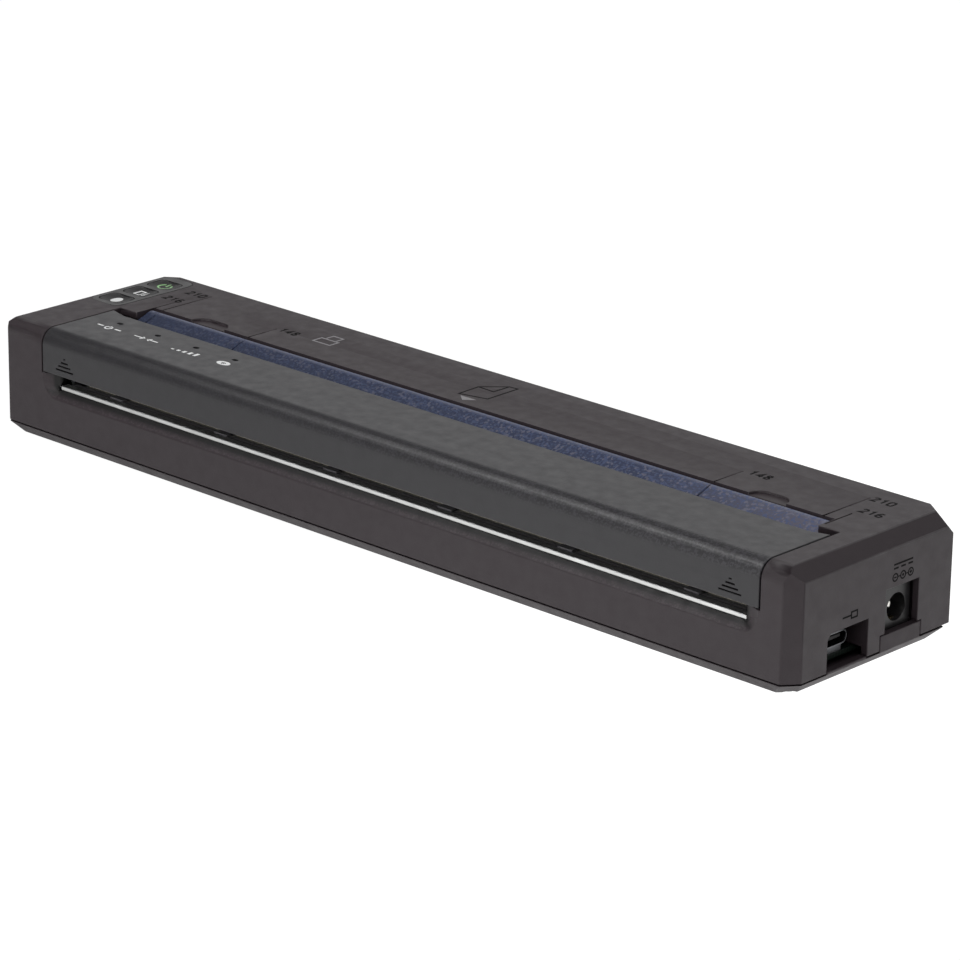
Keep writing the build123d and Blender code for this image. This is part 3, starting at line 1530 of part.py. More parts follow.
usb_back = usb_face - usb_shell[2] + usb_back_wall
with BuildPart() as usb_tongue_plate:
    block(
        (usb_back, usb_back + usb_tongue[2]),
        (usb_middle[0] - usb_tongue[0] / 2, usb_middle[0] + usb_tongue[0] / 2),
        (usb_middle[1] - usb_tongue[1] / 2, usb_middle[1] + usb_tongue[1] / 2),
    )
usb_tongue_plate.part.label = "usb_tongue"
export_step(usb_tongue_plate.part, "parts/usb_tongue.step")

with BuildPart() as power_jack:
    block(
        (jack_back, jack_face),
        (jack_opening[0] + jack_side_gap, jack_opening[1] - jack_side_gap),
        (board_top, jack_opening[3] - jack_side_gap),
    )
    rod(*jack_middle, jack_face - jack_bore_depth, jack_face, jack_bore_radius, Mode.SUBTRACT)
    rod(*jack_middle, jack_back, jack_face, jack_pin_radius, Mode.SUBTRACT)
    block(
        (jack_face - jack_bore_depth, jack_face - jack_contact_setback),
        (jack_middle[0] - jack_contact_half, jack_middle[0] + jack_contact_half),
        (
            jack_middle[1] - jack_bore_radius - jack_contact_wall,
            jack_middle[1] - jack_bore_radius + jack_contact_relief,
        ),
        Mode.SUBTRACT,
    )
power_jack.part.label = "power_jack"
export_step(power_jack.part, "parts/power_jack.step")

with BuildPart() as jack_pin:
    rod(*jack_middle, jack_back, jack_face - jack_pin_setback, jack_pin_radius)
    tip = jack_pin.edges().filter_by(GeomType.CIRCLE).sort_by(Axis.X)[-1]
    fillet(tip, radius=jack_pin_round)
jack_pin.part.label = "jack_pin"
export_step(jack_pin.part, "parts/jack_pin.step")

with BuildPart() as jack_contact:
    block(
        (jack_face - jack_bore_depth, jack_face - jack_contact_setback),
        (jack_middle[0] - jack_contact_half, jack_middle[0] + jack_contact_half),
        (
            jack_middle[1] - jack_bore_radius - jack_contact_wall,
            jack_middle[1] - jack_bore_radius + jack_contact_rise,
        ),
    )
jack_contact.part.label = "jack_contact"
export_step(jack_contact.part, "parts/jack_contact.step")

# ---------------------------------------------------------------- battery and its cover
with BuildPart() as battery_pack:
    with BuildSketch(Plane.YZ.offset(battery_left)):
        with Locations(((battery_front + battery_rear) / 2, (battery_bottom + battery_top) / 2)):
            RectangleRounded(battery_depth, battery_thickness, battery_corner)
    extrude(amount=battery_right - battery_left)
battery_pack.part.label = "battery_pack"
export_step(battery_pack.part, "parts/battery_pack.step")

contact_right = battery_left - contact_reach
contact_front = battery_front + contact_front_gap
with BuildPart() as contact_block:
    block(
        (contact_right - contact_block_size[0], contact_right),
        (contact_front, contact_front + contact_block_size[1]),
        (floor_top, floor_top + contact_block_size[2]),
    )
contact_block.part.label = "contact_block"
export_step(contact_block.part, "parts/contact_block.step")

with BuildPart() as contact_blades:
    for row in contact_rows:
        y = contact_front + row
        block(
            (contact_right, battery_left),
            (y - contact_blade_half, y + contact_blade_half),
            (floor_top + contact_blade_span[0], floor_top + contact_blade_span[1]),
        )
contact_blades.part.label = "contact_blades"
export_step(contact_blades.part, "parts/contact_blades.step")

with BuildPart() as battery_cover:
    add(tapered_floor)
    block(
        (bay_left + bay_gap, bay_right - bay_gap),
        (bay_front + bay_gap, half_depth + cut_reach),
        (0, seam_bottom),
        Mode.INTERSECT,
    )
    block(
        (bay_left, bay_right),
        (bay_front, rear_inner - bay_gap),
        (floor_top, seam_bottom + fuse),
        Mode.SUBTRACT,
    )
    # tongues on both sides and at the front, over the floor's ledge
    block(
        (bay_left - bay_rail_tongue, bay_right + bay_rail_tongue),
        (bay_front + bay_tongue_inset, rear_inner - bay_tongue_inset),
        (bay_tongue_low, floor_top),
    )
    block(
        (bay_left + bay_front_tongue_inset, bay_right - bay_front_tongue_inset),
        (bay_front - bay_rail_tongue, bay_front + bay_tongue_inset),
        (bay_tongue_low, floor_top),
    )
    # finger ridges
    ridge_middle = (bay_left + bay_right) / 2
    for number in range(ridge_count):
        y = rear_inner - ridge_rear_gap - ridge_pitch * number
        block(
            (ridge_middle - ridge_half_length, ridge_middle + ridge_half_length),
            (y - ridge_half_width, y + ridge_half_width),
            (0, floor_bottom + ridge_depth),
            Mode.SUBTRACT,
        )
battery_cover.part.label = "battery_cover"
export_step(battery_cover.part, "parts/battery_cover.step")

# ---------------------------------------------------------------- feet and case screws
with BuildPart() as rubber_feet:
    for x, y in feet_at:
        post(x, y, 0, floor_bottom + foot_recess, foot_radius)
rubber_feet.part.label = "rubber_feet"
export_step(rubber_feet.part, "parts/rubber_feet.step")

with BuildPart() as case_screws:
    for x, y in case_screws_at:
        post(x, y, counterbore_top - screw_head_height, counterbore_top, screw_head_radius)
        post(x, y, counterbore_top, counterbore_top + case_screw_length, screw_radius)
        with BuildSketch(Plane.XY.offset(counterbore_top - screw_head_height)) as recess:
            with Locations((x, y)):
                Rectangle(screw_cross[0], screw_cross[1])
                Rectangle(screw_cross[1], screw_cross[0])
        extrude(recess.sketch, amount=screw_cross[2], mode=Mode.SUBTRACT)
case_screws.part.label = "case_screws"
export_step(case_screws.part, "parts/case_screws.step")
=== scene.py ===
"""Looks of a slim portable thermal printer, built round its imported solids."""

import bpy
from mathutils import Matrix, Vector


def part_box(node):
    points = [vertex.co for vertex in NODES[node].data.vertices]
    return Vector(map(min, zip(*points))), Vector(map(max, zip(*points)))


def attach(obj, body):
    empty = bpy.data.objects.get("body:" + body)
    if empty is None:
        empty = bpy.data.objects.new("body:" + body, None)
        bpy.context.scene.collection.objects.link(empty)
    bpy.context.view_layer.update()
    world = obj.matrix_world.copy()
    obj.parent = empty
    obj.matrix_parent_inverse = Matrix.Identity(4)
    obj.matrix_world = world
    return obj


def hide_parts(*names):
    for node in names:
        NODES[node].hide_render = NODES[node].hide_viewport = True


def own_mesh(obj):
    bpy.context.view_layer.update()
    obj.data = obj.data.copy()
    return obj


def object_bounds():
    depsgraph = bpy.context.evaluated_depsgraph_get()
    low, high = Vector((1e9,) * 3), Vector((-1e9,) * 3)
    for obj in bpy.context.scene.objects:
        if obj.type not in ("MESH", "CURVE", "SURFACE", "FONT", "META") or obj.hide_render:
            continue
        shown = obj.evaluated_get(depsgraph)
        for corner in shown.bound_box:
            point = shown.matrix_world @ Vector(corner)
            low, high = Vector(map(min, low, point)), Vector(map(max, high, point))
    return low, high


bl_info = {
    "name": "Portable Thermal Printer",
    "version": (1, 0, 0),
    "blender": (4, 5, 0),
    "location": "View3D > Sidebar > Printer",
    "description": "Dresses the printer's solids in plastic, metal, rubber, boards and marks",
    "category": "Object",
}

import math

import bmesh
import bpy
from mathutils import Matrix, Vector
from mathutils.bvhtree import BVHTree
from mathutils.geometry import intersect_point_line

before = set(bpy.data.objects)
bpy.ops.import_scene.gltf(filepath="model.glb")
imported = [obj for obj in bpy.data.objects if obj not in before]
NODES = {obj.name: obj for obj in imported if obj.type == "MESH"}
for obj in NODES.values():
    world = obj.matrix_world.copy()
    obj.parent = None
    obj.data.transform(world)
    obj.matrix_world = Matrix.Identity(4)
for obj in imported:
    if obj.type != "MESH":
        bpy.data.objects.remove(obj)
CAD_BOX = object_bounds()
MM = 0.001
TOP = CAD_BOX[1].z
RIGHT = CAD_BOX[1].x
# square metres from which a face counts as broad and keeps its own normal
BROAD_FACE = 8e-6
# degrees between faces: up to the first they are one flat face, from the second an edge is
# rounded, and from the third it is shaded sharp
FLAT_ANGLE, SHARP_ANGLE, CREASE_ANGLE = 0.6, 35.0, 40.0
# room that a rounding needs beside its edge, in widths, and steps in which it is looked for
ROOM, ROOM_STEPS = 1.7, 6
# least share of a line's width that its mitres are reckoned with
LEAST_MITRE = 0.35
# metres apart at which two vertices become one
SAME_PLACE = 1e-6
# degrees that the print head swings to its limit
STRIP_FORWARD, STRIP_RAISED = 0.4 * MM, 0.2 * MM
# floors of the deck's sunk lines and of the grooves in the cover's front face
LINE_FLOOR = TOP - 0.28 * MM
GROOVE_FLOOR = -27.2 * MM

# small parts strewn on the board: size of one, and the seed of their places
SMALL_PART = (1.6 * MM, 0.8 * MM, 0.6 * MM)
SMALL_PART_SEED = 7
# contacts on the data socket's tongue, and drivers along the print head
CONTACTS, CONTACT_PITCH = 11, 0.5 * MM
DRIVERS, DRIVER_PITCH = 12, 16.6 * MM
# tracks in a metre of the boards' pattern
TRACK_SCALE = 260.0
# stretch of a brushed metal's lines round a turned piece
TURNED = (30.0, 1.0, 1.0)
# camera: azimuth, elevation and roll in degrees, target in metres, distance in millimetres,
# and focal length and width of the render in pixels
CAMERA_ANGLES = (43.15444, 19.28849, 0.79663)
CAMERA_TARGET = Vector((10.99701 * MM, 0, 14.70864 * MM))
CAMERA_DISTANCE = 985.15865
FOCAL_PIXELS, RENDER_PIXELS = 4232.18831, 960
# floor: corners of a square round the middle, and metres from the middle to its sides
SQUARE = ((-1, -1), (1, -1), (1, 1), (-1, 1))
FLOOR_REACH = 3.0

# all in millimetres: figures with their centres, sunk lines as x, start and stop,
# places of the ramp's lines, and the grooves of the opening signs
PAPER_FIGURES = (
    ("216", -107.9, 13.2),
    ("210", -106.8, 20.0),
    ("148", -67.6, 14.6),
    ("148", 82.6, 15.2),
    ("210", 113.0, 20.8),
    ("216", 115.8, 13.2),
)
PAPER_LINES = (
    (-105.6, 4.7, 12.2),
    (-102.8, 4.7, 21.4),
    (-71.7, 4.7, 14.2),
    (78.0, 4.7, 14.5),
    (109.2, 4.7, 20.8),
    (112.8, 0.8, 9.9),
)
RAMP_LINES = (-102.8, -71.7, 78.0)
OPEN_SIGNS = (-103.5, 110.0)
OPEN_SIGN_WIDTHS = (6.5, 4.6, 2.7, 0.9)

# keys with the bodies that they move on
KEYS = (
    ("power_key", "power_button"),
    ("feed_key", "feed_button"),
    ("wireless_key", "wireless_button"),
)


# ---------------------------------------------------------------- colours and shading nodes
def tint(red, green, blue):
    """Linear colour from the 0 to 255 values of a screen."""
    shades = [value / 255 for value in (red, green, blue)]
    linear = [s / 12.92 if s <= 0.04045 else ((s + 0.055) / 1.055) ** 2.4 for s in shades]
    return (*linear, 1.0)


def scaled(colour, factor):
    """Colour made lighter or darker by a factor."""
    return (*(min(1.0, channel * factor) for channel in colour[:3]), 1.0)


def made(tree, kind, values=None, **settings):
    """New node with its settings, its inputs given values or joined to other outputs."""
    node = tree.nodes.new(kind)
    for name, setting in settings.items():
        setattr(node, name, setting)
    for entry, value in (values or {}).items():
        if isinstance(value, bpy.types.NodeSocket):
            tree.links.new(value, node.inputs[entry])
        else:
            node.inputs[entry].default_value = value
    return node


def calculated(tree, operation, *values):
    """Result of a sum on outputs or numbers."""
    values = dict(enumerate(values))
    return made(tree, "ShaderNodeMath", values, operation=operation).outputs[0]


def parted(tree, vector):
    """The three outputs of a vector's parts."""
    return made(tree, "ShaderNodeSeparateXYZ", {"Vector": vector}).outputs


def spread_over(tree, value, span, levels, way="LINEAR"):
    """Level that goes from one to another while a value crosses a span."""
    values = {
        "Value": value,
        "From Min": span[0],
        "From Max": span[1],
        "To Min": levels[0],
        "To Max": levels[1],
    }
    return made(tree, "ShaderNodeMapRange", values, interpolation_type=way).outputs["Result"]


def emptied(holder):
    """Node tree of a material or world, without its first nodes."""
    holder.use_nodes = True
    holder.node_tree.nodes.clear()
    return holder.node_tree


class Finish:
    """A surface material on object coordinates, put together step by step."""

    def __init__(self, name, colour, roughness, metallic=0.0, specular=0.5):
        self.material = bpy.data.materials.new(name)
        self.material.diffuse_color = colour
        self.tree = emptied(self.material)
        surface = {
            "Base Color": colour,
            "Roughness": roughness,
            "Metallic": metallic,
            "Specular IOR Level": specular,
        }
        self.shader = self.made("ShaderNodeBsdfPrincipled", surface)
        self.made("ShaderNodeOutputMaterial", {"Surface": self.shader.outputs["BSDF"]})
        self.colour, self.roughness = colour, roughness
        self.place = self.made("ShaderNodeTexCoord").outputs["Object"]
        self.paint = colour
        self.relief = None

    def made(self, kind, values=None, **settings):
        return made(self.tree, kind, values, **settings)

    def shown(self, entry, output):
        """Joins an output to the shader, and gives it back."""
        self.tree.links.new(output, self.shader.inputs[entry])
        return output

    def noise(self, size, detail=3.0, stretch=None):
        """Soft noise whose lumps are about size metres wide, drawn out if asked."""
        place = self.place
        if stretch:
            mapping = self.made("ShaderNodeMapping", {"Vector": place, "Scale": stretch})
            place = mapping.outputs["Vector"]
        values = {"Vector": place, "Scale": 1.0 / size, "Detail": detail}
        return self.made("ShaderNodeTexNoise", values).outputs["Fac"]

    def red(self, colour):
        """First channel of a colour."""
        return self.made("ShaderNodeSeparateColor", {"Color": colour}).outputs["Red"]

    def cells(self, size):
        """One random value for each small cell."""
        values = {"Vector": self.place, "Scale": 1.0 / size}
        return self.red(self.made("ShaderNodeTexVoronoi", values).outputs["Color"])

    def along(self, axis, start, stop):
        """Share that grows from 0 to 1 between two places on an axis of the object."""
        return self.spread(parted(self.tree, self.place)[axis], 0.0, 1.0, start, stop)

    def within(self, *limits):
        """Product of shares along axes, each given as axis, start and stop in millimetres."""
        share = None
        for axis, start, stop in limits:
            part = self.along(axis, start * MM, stop * MM)
            share = self.both(share, part) if share else part
        return share

    def both(self, first, second):
        """Product of two shares."""
        return calculated(self.tree, "MULTIPLY", first, second)

    def spread(self, value, low, high, start=0.3, stop=0.7):
        """Value of a texture spread between two numbers."""
        return spread_over(self.tree, value, (start, stop), (low, high))

    def mixed(self, share, second):
        """Paints a second colour over what is there, by the share that a texture gives."""
        values = {"A": self.paint, "B": second, "Factor": share}
        node = self.made("ShaderNodeMix", values, data_type="RGBA")
        self.paint = self.shown("Base Color", node.outputs["Result"])
        return self

    def mottled(self, size, amount, stretch=None):
        """Slow drift of the colour, lighter and darker."""
        darker, lighter = scaled(self.colour, 1 - amount), scaled(self.colour, 1 + amount)
        field = self.noise(size, 4.0, stretch)
        self.mixed(self.spread(field, 0.0, 1.0, 0.30, 0.50), darker)
        return self.mixed(self.spread(field, 0.0, 1.0, 0.50, 0.75), lighter)

    def flecked(self, size, share, colour, where=None):
        """Sparse bright or dark flecks, where a second share allows them."""
        flecks = self.spread(self.cells(size), 0.0, 1.0, 1 - share, 1 - share * 0.5)
        return self.mixed(self.both(flecks, where) if where else flecks, colour)

    def glossed(self, size, amount, stretch=None):
        """Roughness that varies over the surface."""
        low, high = self.roughness - amount, self.roughness + amount
        self.shown("Roughness", self.spread(self.noise(size, 3.0, stretch), low, high))
        return self

    def embossed(self, field, depth):
        """Relief of a texture, depth metres high."""
        values = {"Distance": depth, "Height": field}
        if self.relief:
            values["Normal"] = self.relief
        bump = self.made("ShaderNodeBump", values)
        self.relief = self.shown("Normal", bump.outputs["Normal"])
        return self

    def grained(self, size, depth, stretch=None):
        """Fine grain of a mould or a cast."""
        return self.embossed(self.noise(size, 2.0, stretch), depth)


def moulded(name, colour, roughness, grain, depth, specular=0.5):
    """Textured injection moulding with a slight drift of colour and gloss."""
    finish = Finish(name, colour, roughness, specular=specular)
    finish.mottled(9 * MM, 0.05).glossed(3 * MM, 0.05)
    if depth:
        finish.grained(grain, depth)
    return finish


def sheet_metal(name, colour, roughness, along=(1.0, 30.0, 30.0)):
    """Rolled or brushed metal with lines that run along the piece."""
    finish = Finish(name, colour, roughness, metallic=1.0)
    finish.mottled(6 * MM, 0.10).glossed(1.5 * MM, 0.08, along)
    return finish.grained(0.8 * MM, 0.004 * MM, along)


# ---------------------------------------------------------------- meshes
def linked(piece):
    """Puts an object in the scene."""
    bpy.context.scene.collection.objects.link(piece)


def keep(name, mesh, body, material=None, node_slot=None, smooth=SHARP_ANGLE):
    """New piece from a finished mesh, riding on a body."""
    mesh.name = name
    piece = bpy.data.objects.new(name, mesh)
    linked(piece)
    if material is not None:
        mesh.materials.clear()
        mesh.materials.append(material)
    if smooth:
        mesh.shade_smooth()
        mesh.set_sharp_from_angle(angle=math.radians(smooth))
    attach(piece, body)
    return piece


def paint(node, finish):
    """Gives a carried-over solid its material."""
    mesh = NODES[node].data
    mesh.materials.clear()
    mesh.materials.append(finish.material)


def baked(piece):
    """Plain mesh of a piece with its modifiers applied."""
    depsgraph = bpy.context.evaluated_depsgraph_get()
    mesh = bpy.data.meshes.new_from_object(piece.evaluated_get(depsgraph))
    bpy.data.objects.remove(piece)
    return mesh


def evenly_shaded(mesh):
    """Smooth shading that leans towards the large faces, so that flat faces stay flat."""
    mesh.shade_smooth()
    mesh.set_sharp_from_angle(angle=math.radians(CREASE_ANGLE))
    work = bpy.data.objects.new("shading_work", mesh)
    linked(work)
    lean = work.modifiers.new("Shading", "WEIGHTED_NORMAL")
    lean.keep_sharp = True
    mesh = baked(work)
    normals = [corner.vector.copy() for corner in mesh.corner_normals]
    for face in mesh.polygons:
        if face.area > BROAD_FACE:
            for corner in face.loop_indices:
                normals[corner] = face.normal
    mesh.normals_split_custom_set(normals)
    return mesh


def opened(mesh):
    """Working shape of a mesh."""
    shape = bmesh.new()
    shape.from_mesh(mesh)
    return shape


def closed(shape, mesh):
    """Mesh that takes up a working shape."""
    shape.to_mesh(mesh)
    shape.free()
    return mesh


def joined(shape):
    """Makes one vertex of those in the same place."""
    bmesh.ops.remove_doubles(shape, verts=shape.verts, dist=SAME_PLACE)


def faced_out(shape, name):
    """New mesh from a working shape, with its faces turned outwards."""
    bmesh.ops.recalc_face_normals(shape, faces=shape.faces)
    return closed(shape, bpy.data.meshes.new(name))


def merged_copy(node, flat_joined):
    """Copy of a solid's loose triangles, merged, and with its flat faces joined if asked."""
    mesh = NODES[node].data.copy()
    shape = opened(mesh)
    joined(shape)
    if flat_joined:
        bmesh.ops.dissolve_limit(
            shape, angle_limit=math.radians(FLAT_ANGLE), verts=shape.verts, edges=shape.edges
        )
    return closed(shape, mesh)


def apart(point, start, stop):
    """Distance from a point to a stretch between two others."""
    share = intersect_point_line(point, start, stop)[1]
    return (start.lerp(stop, min(1.0, max(0.0, share))) - point).length


def has_room(edge, reach):
    """True where the faces beside an edge leave room for a rounding of it."""
    ends = [vertex.co for vertex in edge.verts]
    for vertex in edge.verts:
        if any(other.calc_length() < reach for other in vertex.link_edges):
            return False
    samples = [ends[0].lerp(ends[1], step / ROOM_STEPS) for step in range(ROOM_STEPS + 1)]
    for face in edge.link_faces:
        for other in face.edges:
            if set(other.verts) & set(edge.verts):
                continue
            start, stop = (vertex.co for vertex in other.verts)
            if any(apart(sample, start, stop) < reach for sample in samples):
                return False
            if any(apart(corner, *ends) < reach for corner in (start, stop)):
                return False
    return True


def shell(mesh, node, body, finish):
    """Evenly shaded piece that stands for a solid."""
    piece = keep(node + "_shell", evenly_shaded(mesh), body, finish.material, smooth=None)
    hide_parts(node)


def smoothed(node, body, finish):
    """Stands for a solid whose curved faces are shaded evenly."""
    shell(merged_copy(node, False), node, body, finish)


def softened(node, width, body, finish, segments=2):
    """Stands for a solid with its sharp edges rounded, as a mould leaves them."""
    mesh = merged_copy(node, True)
    shape = opened(mesh)
    sharp = math.radians(SHARP_ANGLE)
    edges = [
        edge
        for edge in shape.edges
        if edge.is_manifold
        and edge.is_convex
        and edge.calc_face_angle() > sharp
        and has_room(edge, ROOM * width)
    ]
    bmesh.ops.bevel(
        shape,
        geom=edges,
        offset=width,
        offset_type="OFFSET",
        segments=segments,
        profile=0.5,
        affect="EDGES",
        clamp_overlap=False,
    )
    joined(shape)
    shell(closed(shape, mesh), node, body, finish)


def rounded_bar(low, high, radius, steps=5):
    """Bar along X whose two front edges are rounded."""
    section = [(high.y, high.z), (high.y, low.z)]
    for middle, start in ((low.z + radius, 270), (high.z - radius, 180)):
        for step in range(steps + 1):
            turn = math.radians(start - 90 * step / steps)
            across, up = radius * math.cos(turn), radius * math.sin(turn)
            section.append((low.y + radius + across, middle + up))
    shape = bmesh.new()
    rings = [[shape.verts.new((x, y, z)) for y, z in section] for x in (low.x, high.x)]
    for index in range(len(section)):
        after = (index + 1) % len(section)
        shape.faces.new((rings[0][index], rings[0][after], rings[1][after], rings[1][index]))
    shape.faces.new(rings[0])
    shape.faces.new(rings[1])
    return evenly_shaded(faced_out(shape, "bar"))


def spots(*pairs):
    """Points in metres from pairs in millimetres."""
    return [(u * MM, v * MM) for u, v in pairs]


def around(centre, across, along, turn):
    """Point of an oval at a turn."""
    return centre[0] + across * math.cos(turn), centre[1] + along * math.sin(turn)


class Marks:
    """Flat printed or inked marks, and strokes of painted shade, laid on a surface that a placing
    function gives.
    """

    def __init__(self, place, height):
        self.place = place
        self.height = height
        self.shape = bmesh.new()

    def area(self, points):
        """Filled outline in the surface's own two directions."""
        low = [self.shape.verts.new(self.place(u, v, -self.height)) for u, v in points]
        high = [self.shape.verts.new(self.place(u, v, self.height)) for u, v in points]
        self.shape.faces.new(high)
        self.shape.faces.new(low[::-1])
        for index in range(len(points)):
            after = (index + 1) % len(points)
            self.shape.faces.new((low[index], low[after], high[after], high[index]))

    def stroke(self, points, width, closed=False):
        """Line of even width with mitred corners."""
        count = len(points)
        sides = []
        for index, point in enumerate(points):
            here = Vector(point)
            before = Vector(points[index - 1]) if index or closed else None
            after = Vector(points[(index + 1) % count]) if index < count - 1 or closed else None
            runs = []
            if before is not None:
                runs.append((here - before).normalized())
            if after is not None:
                runs.append((after - here).normalized())
            along = sum(runs, Vector((0, 0))).normalized()
            across = Vector((-along.y, along.x))
            reach = width / 2 / max(LEAST_MITRE, across.dot(Vector((-runs[0].y, runs[0].x))))
            sides.append((here + across * reach, here - across * reach))
        for index in range(count if closed else count - 1):
            left, right = sides[index]
            next_left, next_right = sides[(index + 1) % count]
            self.area([right, next_right, next_left, left])

    def ring(self, centre, radius, width, start=0.0, stop=360.0, steps=20):
        """Circle, or an arc of one."""
        whole = stop - start >= 360.0
        turns = [
            math.radians(start + (stop - start) * step / steps)
            for step in range(steps if whole else steps + 1)
        ]
        self.stroke([around(centre, radius, radius, turn) for turn in turns], width, whole)

    def disc(self, centre, across, along, steps=28):
        """Filled oval."""
        turns = [2 * math.pi * step / steps for step in range(steps)]
        self.area([around(centre, across, along, turn) for turn in turns])

    def finish(self, name, body, material, node_slot):
        """Closes the marks into one piece."""
        keep(name, faced_out(self.shape, name), body, material, node_slot, smooth=None)


def raised(place, rise):
    """Placing function for the same surface, moved out by a rise."""
    return lambda u, v, lift: place(u, v, lift + rise)


def on_top(x, y, z=None):
    """Placing function for a level surface, in metres from a point on it."""
    level = TOP if z is None else z
    return lambda u, v, lift: Vector((x + u, y + v, level + lift))


def on_front(y):
    """Placing function for a face that looks to the front."""
    return lambda u, v, lift: Vector((u, y - lift, v))


def on_end(y, z):
    """Placing function for the right end face."""
    return lambda u, v, lift: Vector((RIGHT + lift, y + u, z + v))


def on_surface(node, x=0.0, y=0.0):
    """Placing function that lays marks on the upper side of a solid."""
    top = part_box(node)[1].z + 1 * MM
    mesh = NODES[node].data
    corners = [point.co for point in mesh.vertices]
    surface = BVHTree.FromPolygons(corners, [face.vertices for face in mesh.polygons])

    def place(u, v, lift):
        hit = surface.ray_cast(Vector((x + u, y + v, top)), Vector((0, 0, -1)))[0]
        return hit + Vector((0, 0, lift))

    return place


DIGITS = {
    "0": (
        (-0.2, 0.5), (0.2, 0.5), (0.3, 0.3), (0.3, -0.3), (0.2, -0.5), (-0.2, -0.5), (-0.3, -0.3),
        (-0.3, 0.3), (-0.2, 0.5),
    ),
    "1": ((-0.2, 0.3), (0.05, 0.5), (0.05, -0.5)),
    "2": ((-0.3, 0.3), (-0.15, 0.5), (0.15, 0.5), (0.3, 0.25), (-0.3, -0.5), (0.32, -0.5)),
    "4": ((0.15, -0.5), (0.15, 0.5), (-0.3, -0.2), (0.35, -0.2)),
    "6": (
        (0.25, 0.45), (-0.1, 0.5), (-0.3, 0.1), (-0.3, -0.35), (-0.1, -0.5), (0.2, -0.5),
        (0.3, -0.2), (0.1, 0.05), (-0.28, -0.05),
    ),
    "8": (
        (0.0, 0.05), (-0.25, 0.25), (-0.15, 0.5), (0.15, 0.5), (0.25, 0.25), (-0.28, -0.25),
        (-0.15, -0.5), (0.15, -0.5), (0.28, -0.25), (0.0, 0.05),
    ),
}


def number(marks, figures, centre, height, width):
    """Plain number of a given height."""
    pitch = 0.95 * height
    for place, figure in enumerate(figures):
        across = centre[0] + (place - (len(figures) - 1) / 2) * pitch
        line = [(across + u * height, centre[1] + v * height) for u, v in DIGITS[figure]]
        marks.stroke(line, width)


def waves(marks, centre, size, width):
    """Dot with two arcs over it."""
    marks.disc(centre, size * 0.16, size * 0.16, 12)
    for reach in (0.5, 0.9):
        marks.ring(centre, size * reach, width, 45, 135, 8)


def power_sign(marks, centre, size, width):
    """Open ring with a bar in its gap."""
    marks.ring(centre, size, width, 125, 415, 22)
    foot, tip = centre[1] + size * 0.2, centre[1] + size * 1.25
    marks.stroke([(centre[0], foot), (centre[0], tip)], width)


def arrow(marks, start, end, head, width):
    """Straight arrow with an open head."""
    marks.stroke([start, end], width)
    run = (Vector(end) - Vector(start)).normalized() * head
    side = Vector((-run.y, run.x))
    tip = Vector(end)
    marks.stroke([tip - run + side * 0.8, tip, tip - run - side * 0.8], width)


# ---------------------------------------------------------------- geometry node trees
def grown_tree(name, fields):
    """Empty tree with its fields, each given as name, kind, default and lowest value."""
    tree = bpy.data.node_groups.new(name, "GeometryNodeTree")
    face = tree.interface
    face.new_socket(name="Geometry", in_out="OUTPUT", socket_type="NodeSocketGeometry")
    inputs = {}
    for label, kind, default, low in fields:
        kind = "NodeSocket" + kind
        item = face.new_socket(name=label, in_out="INPUT", socket_type=kind)
        if default is not None:
            item.default_value = default
        if low is not None:
            item.min_value = low
        inputs[label] = item.identifier
    return tree, inputs, tree.nodes.new("NodeGroupInput").outputs


def coated(tree, given, copies):
    """Ends a tree with its copies made real and given their material."""
    real = made(tree, "GeometryNodeRealizeInstances", {"Geometry": copies.outputs["Instances"]})
    values = {"Geometry": real.outputs["Geometry"], "Material": given["Material"]}
    coat = made(tree, "GeometryNodeSetMaterial", values)
    made(tree, "NodeGroupOutput", {"Geometry": coat.outputs["Geometry"]})


def row_tree():
    """Tree that repeats one prototype in a row with a step between copies."""
    fields = (
        ("Prototype", "Object", None, None),
        ("Count", "Int", 4, 1),
        ("Start", "Vector", (0, 0, 0), None),
        ("Step", "Vector", (1 * MM, 0, 0), None),
        ("Material", "Material", None, None),
    )
    tree, inputs, given = grown_tree("Row of Pieces", fields)
    values = {"Count": given["Count"], "Start Location": given["Start"], "Offset": given["Step"]}
    line = made(tree, "GeometryNodeMeshLine", values, mode="OFFSET")
    source = made(tree, "GeometryNodeObjectInfo", {"Object": given["Prototype"]})
    values = {"Points": line.outputs["Mesh"], "Instance": source.outputs["Geometry"]}
    coated(tree, given, made(tree, "GeometryNodeInstanceOnPoints", values))
    return tree, inputs


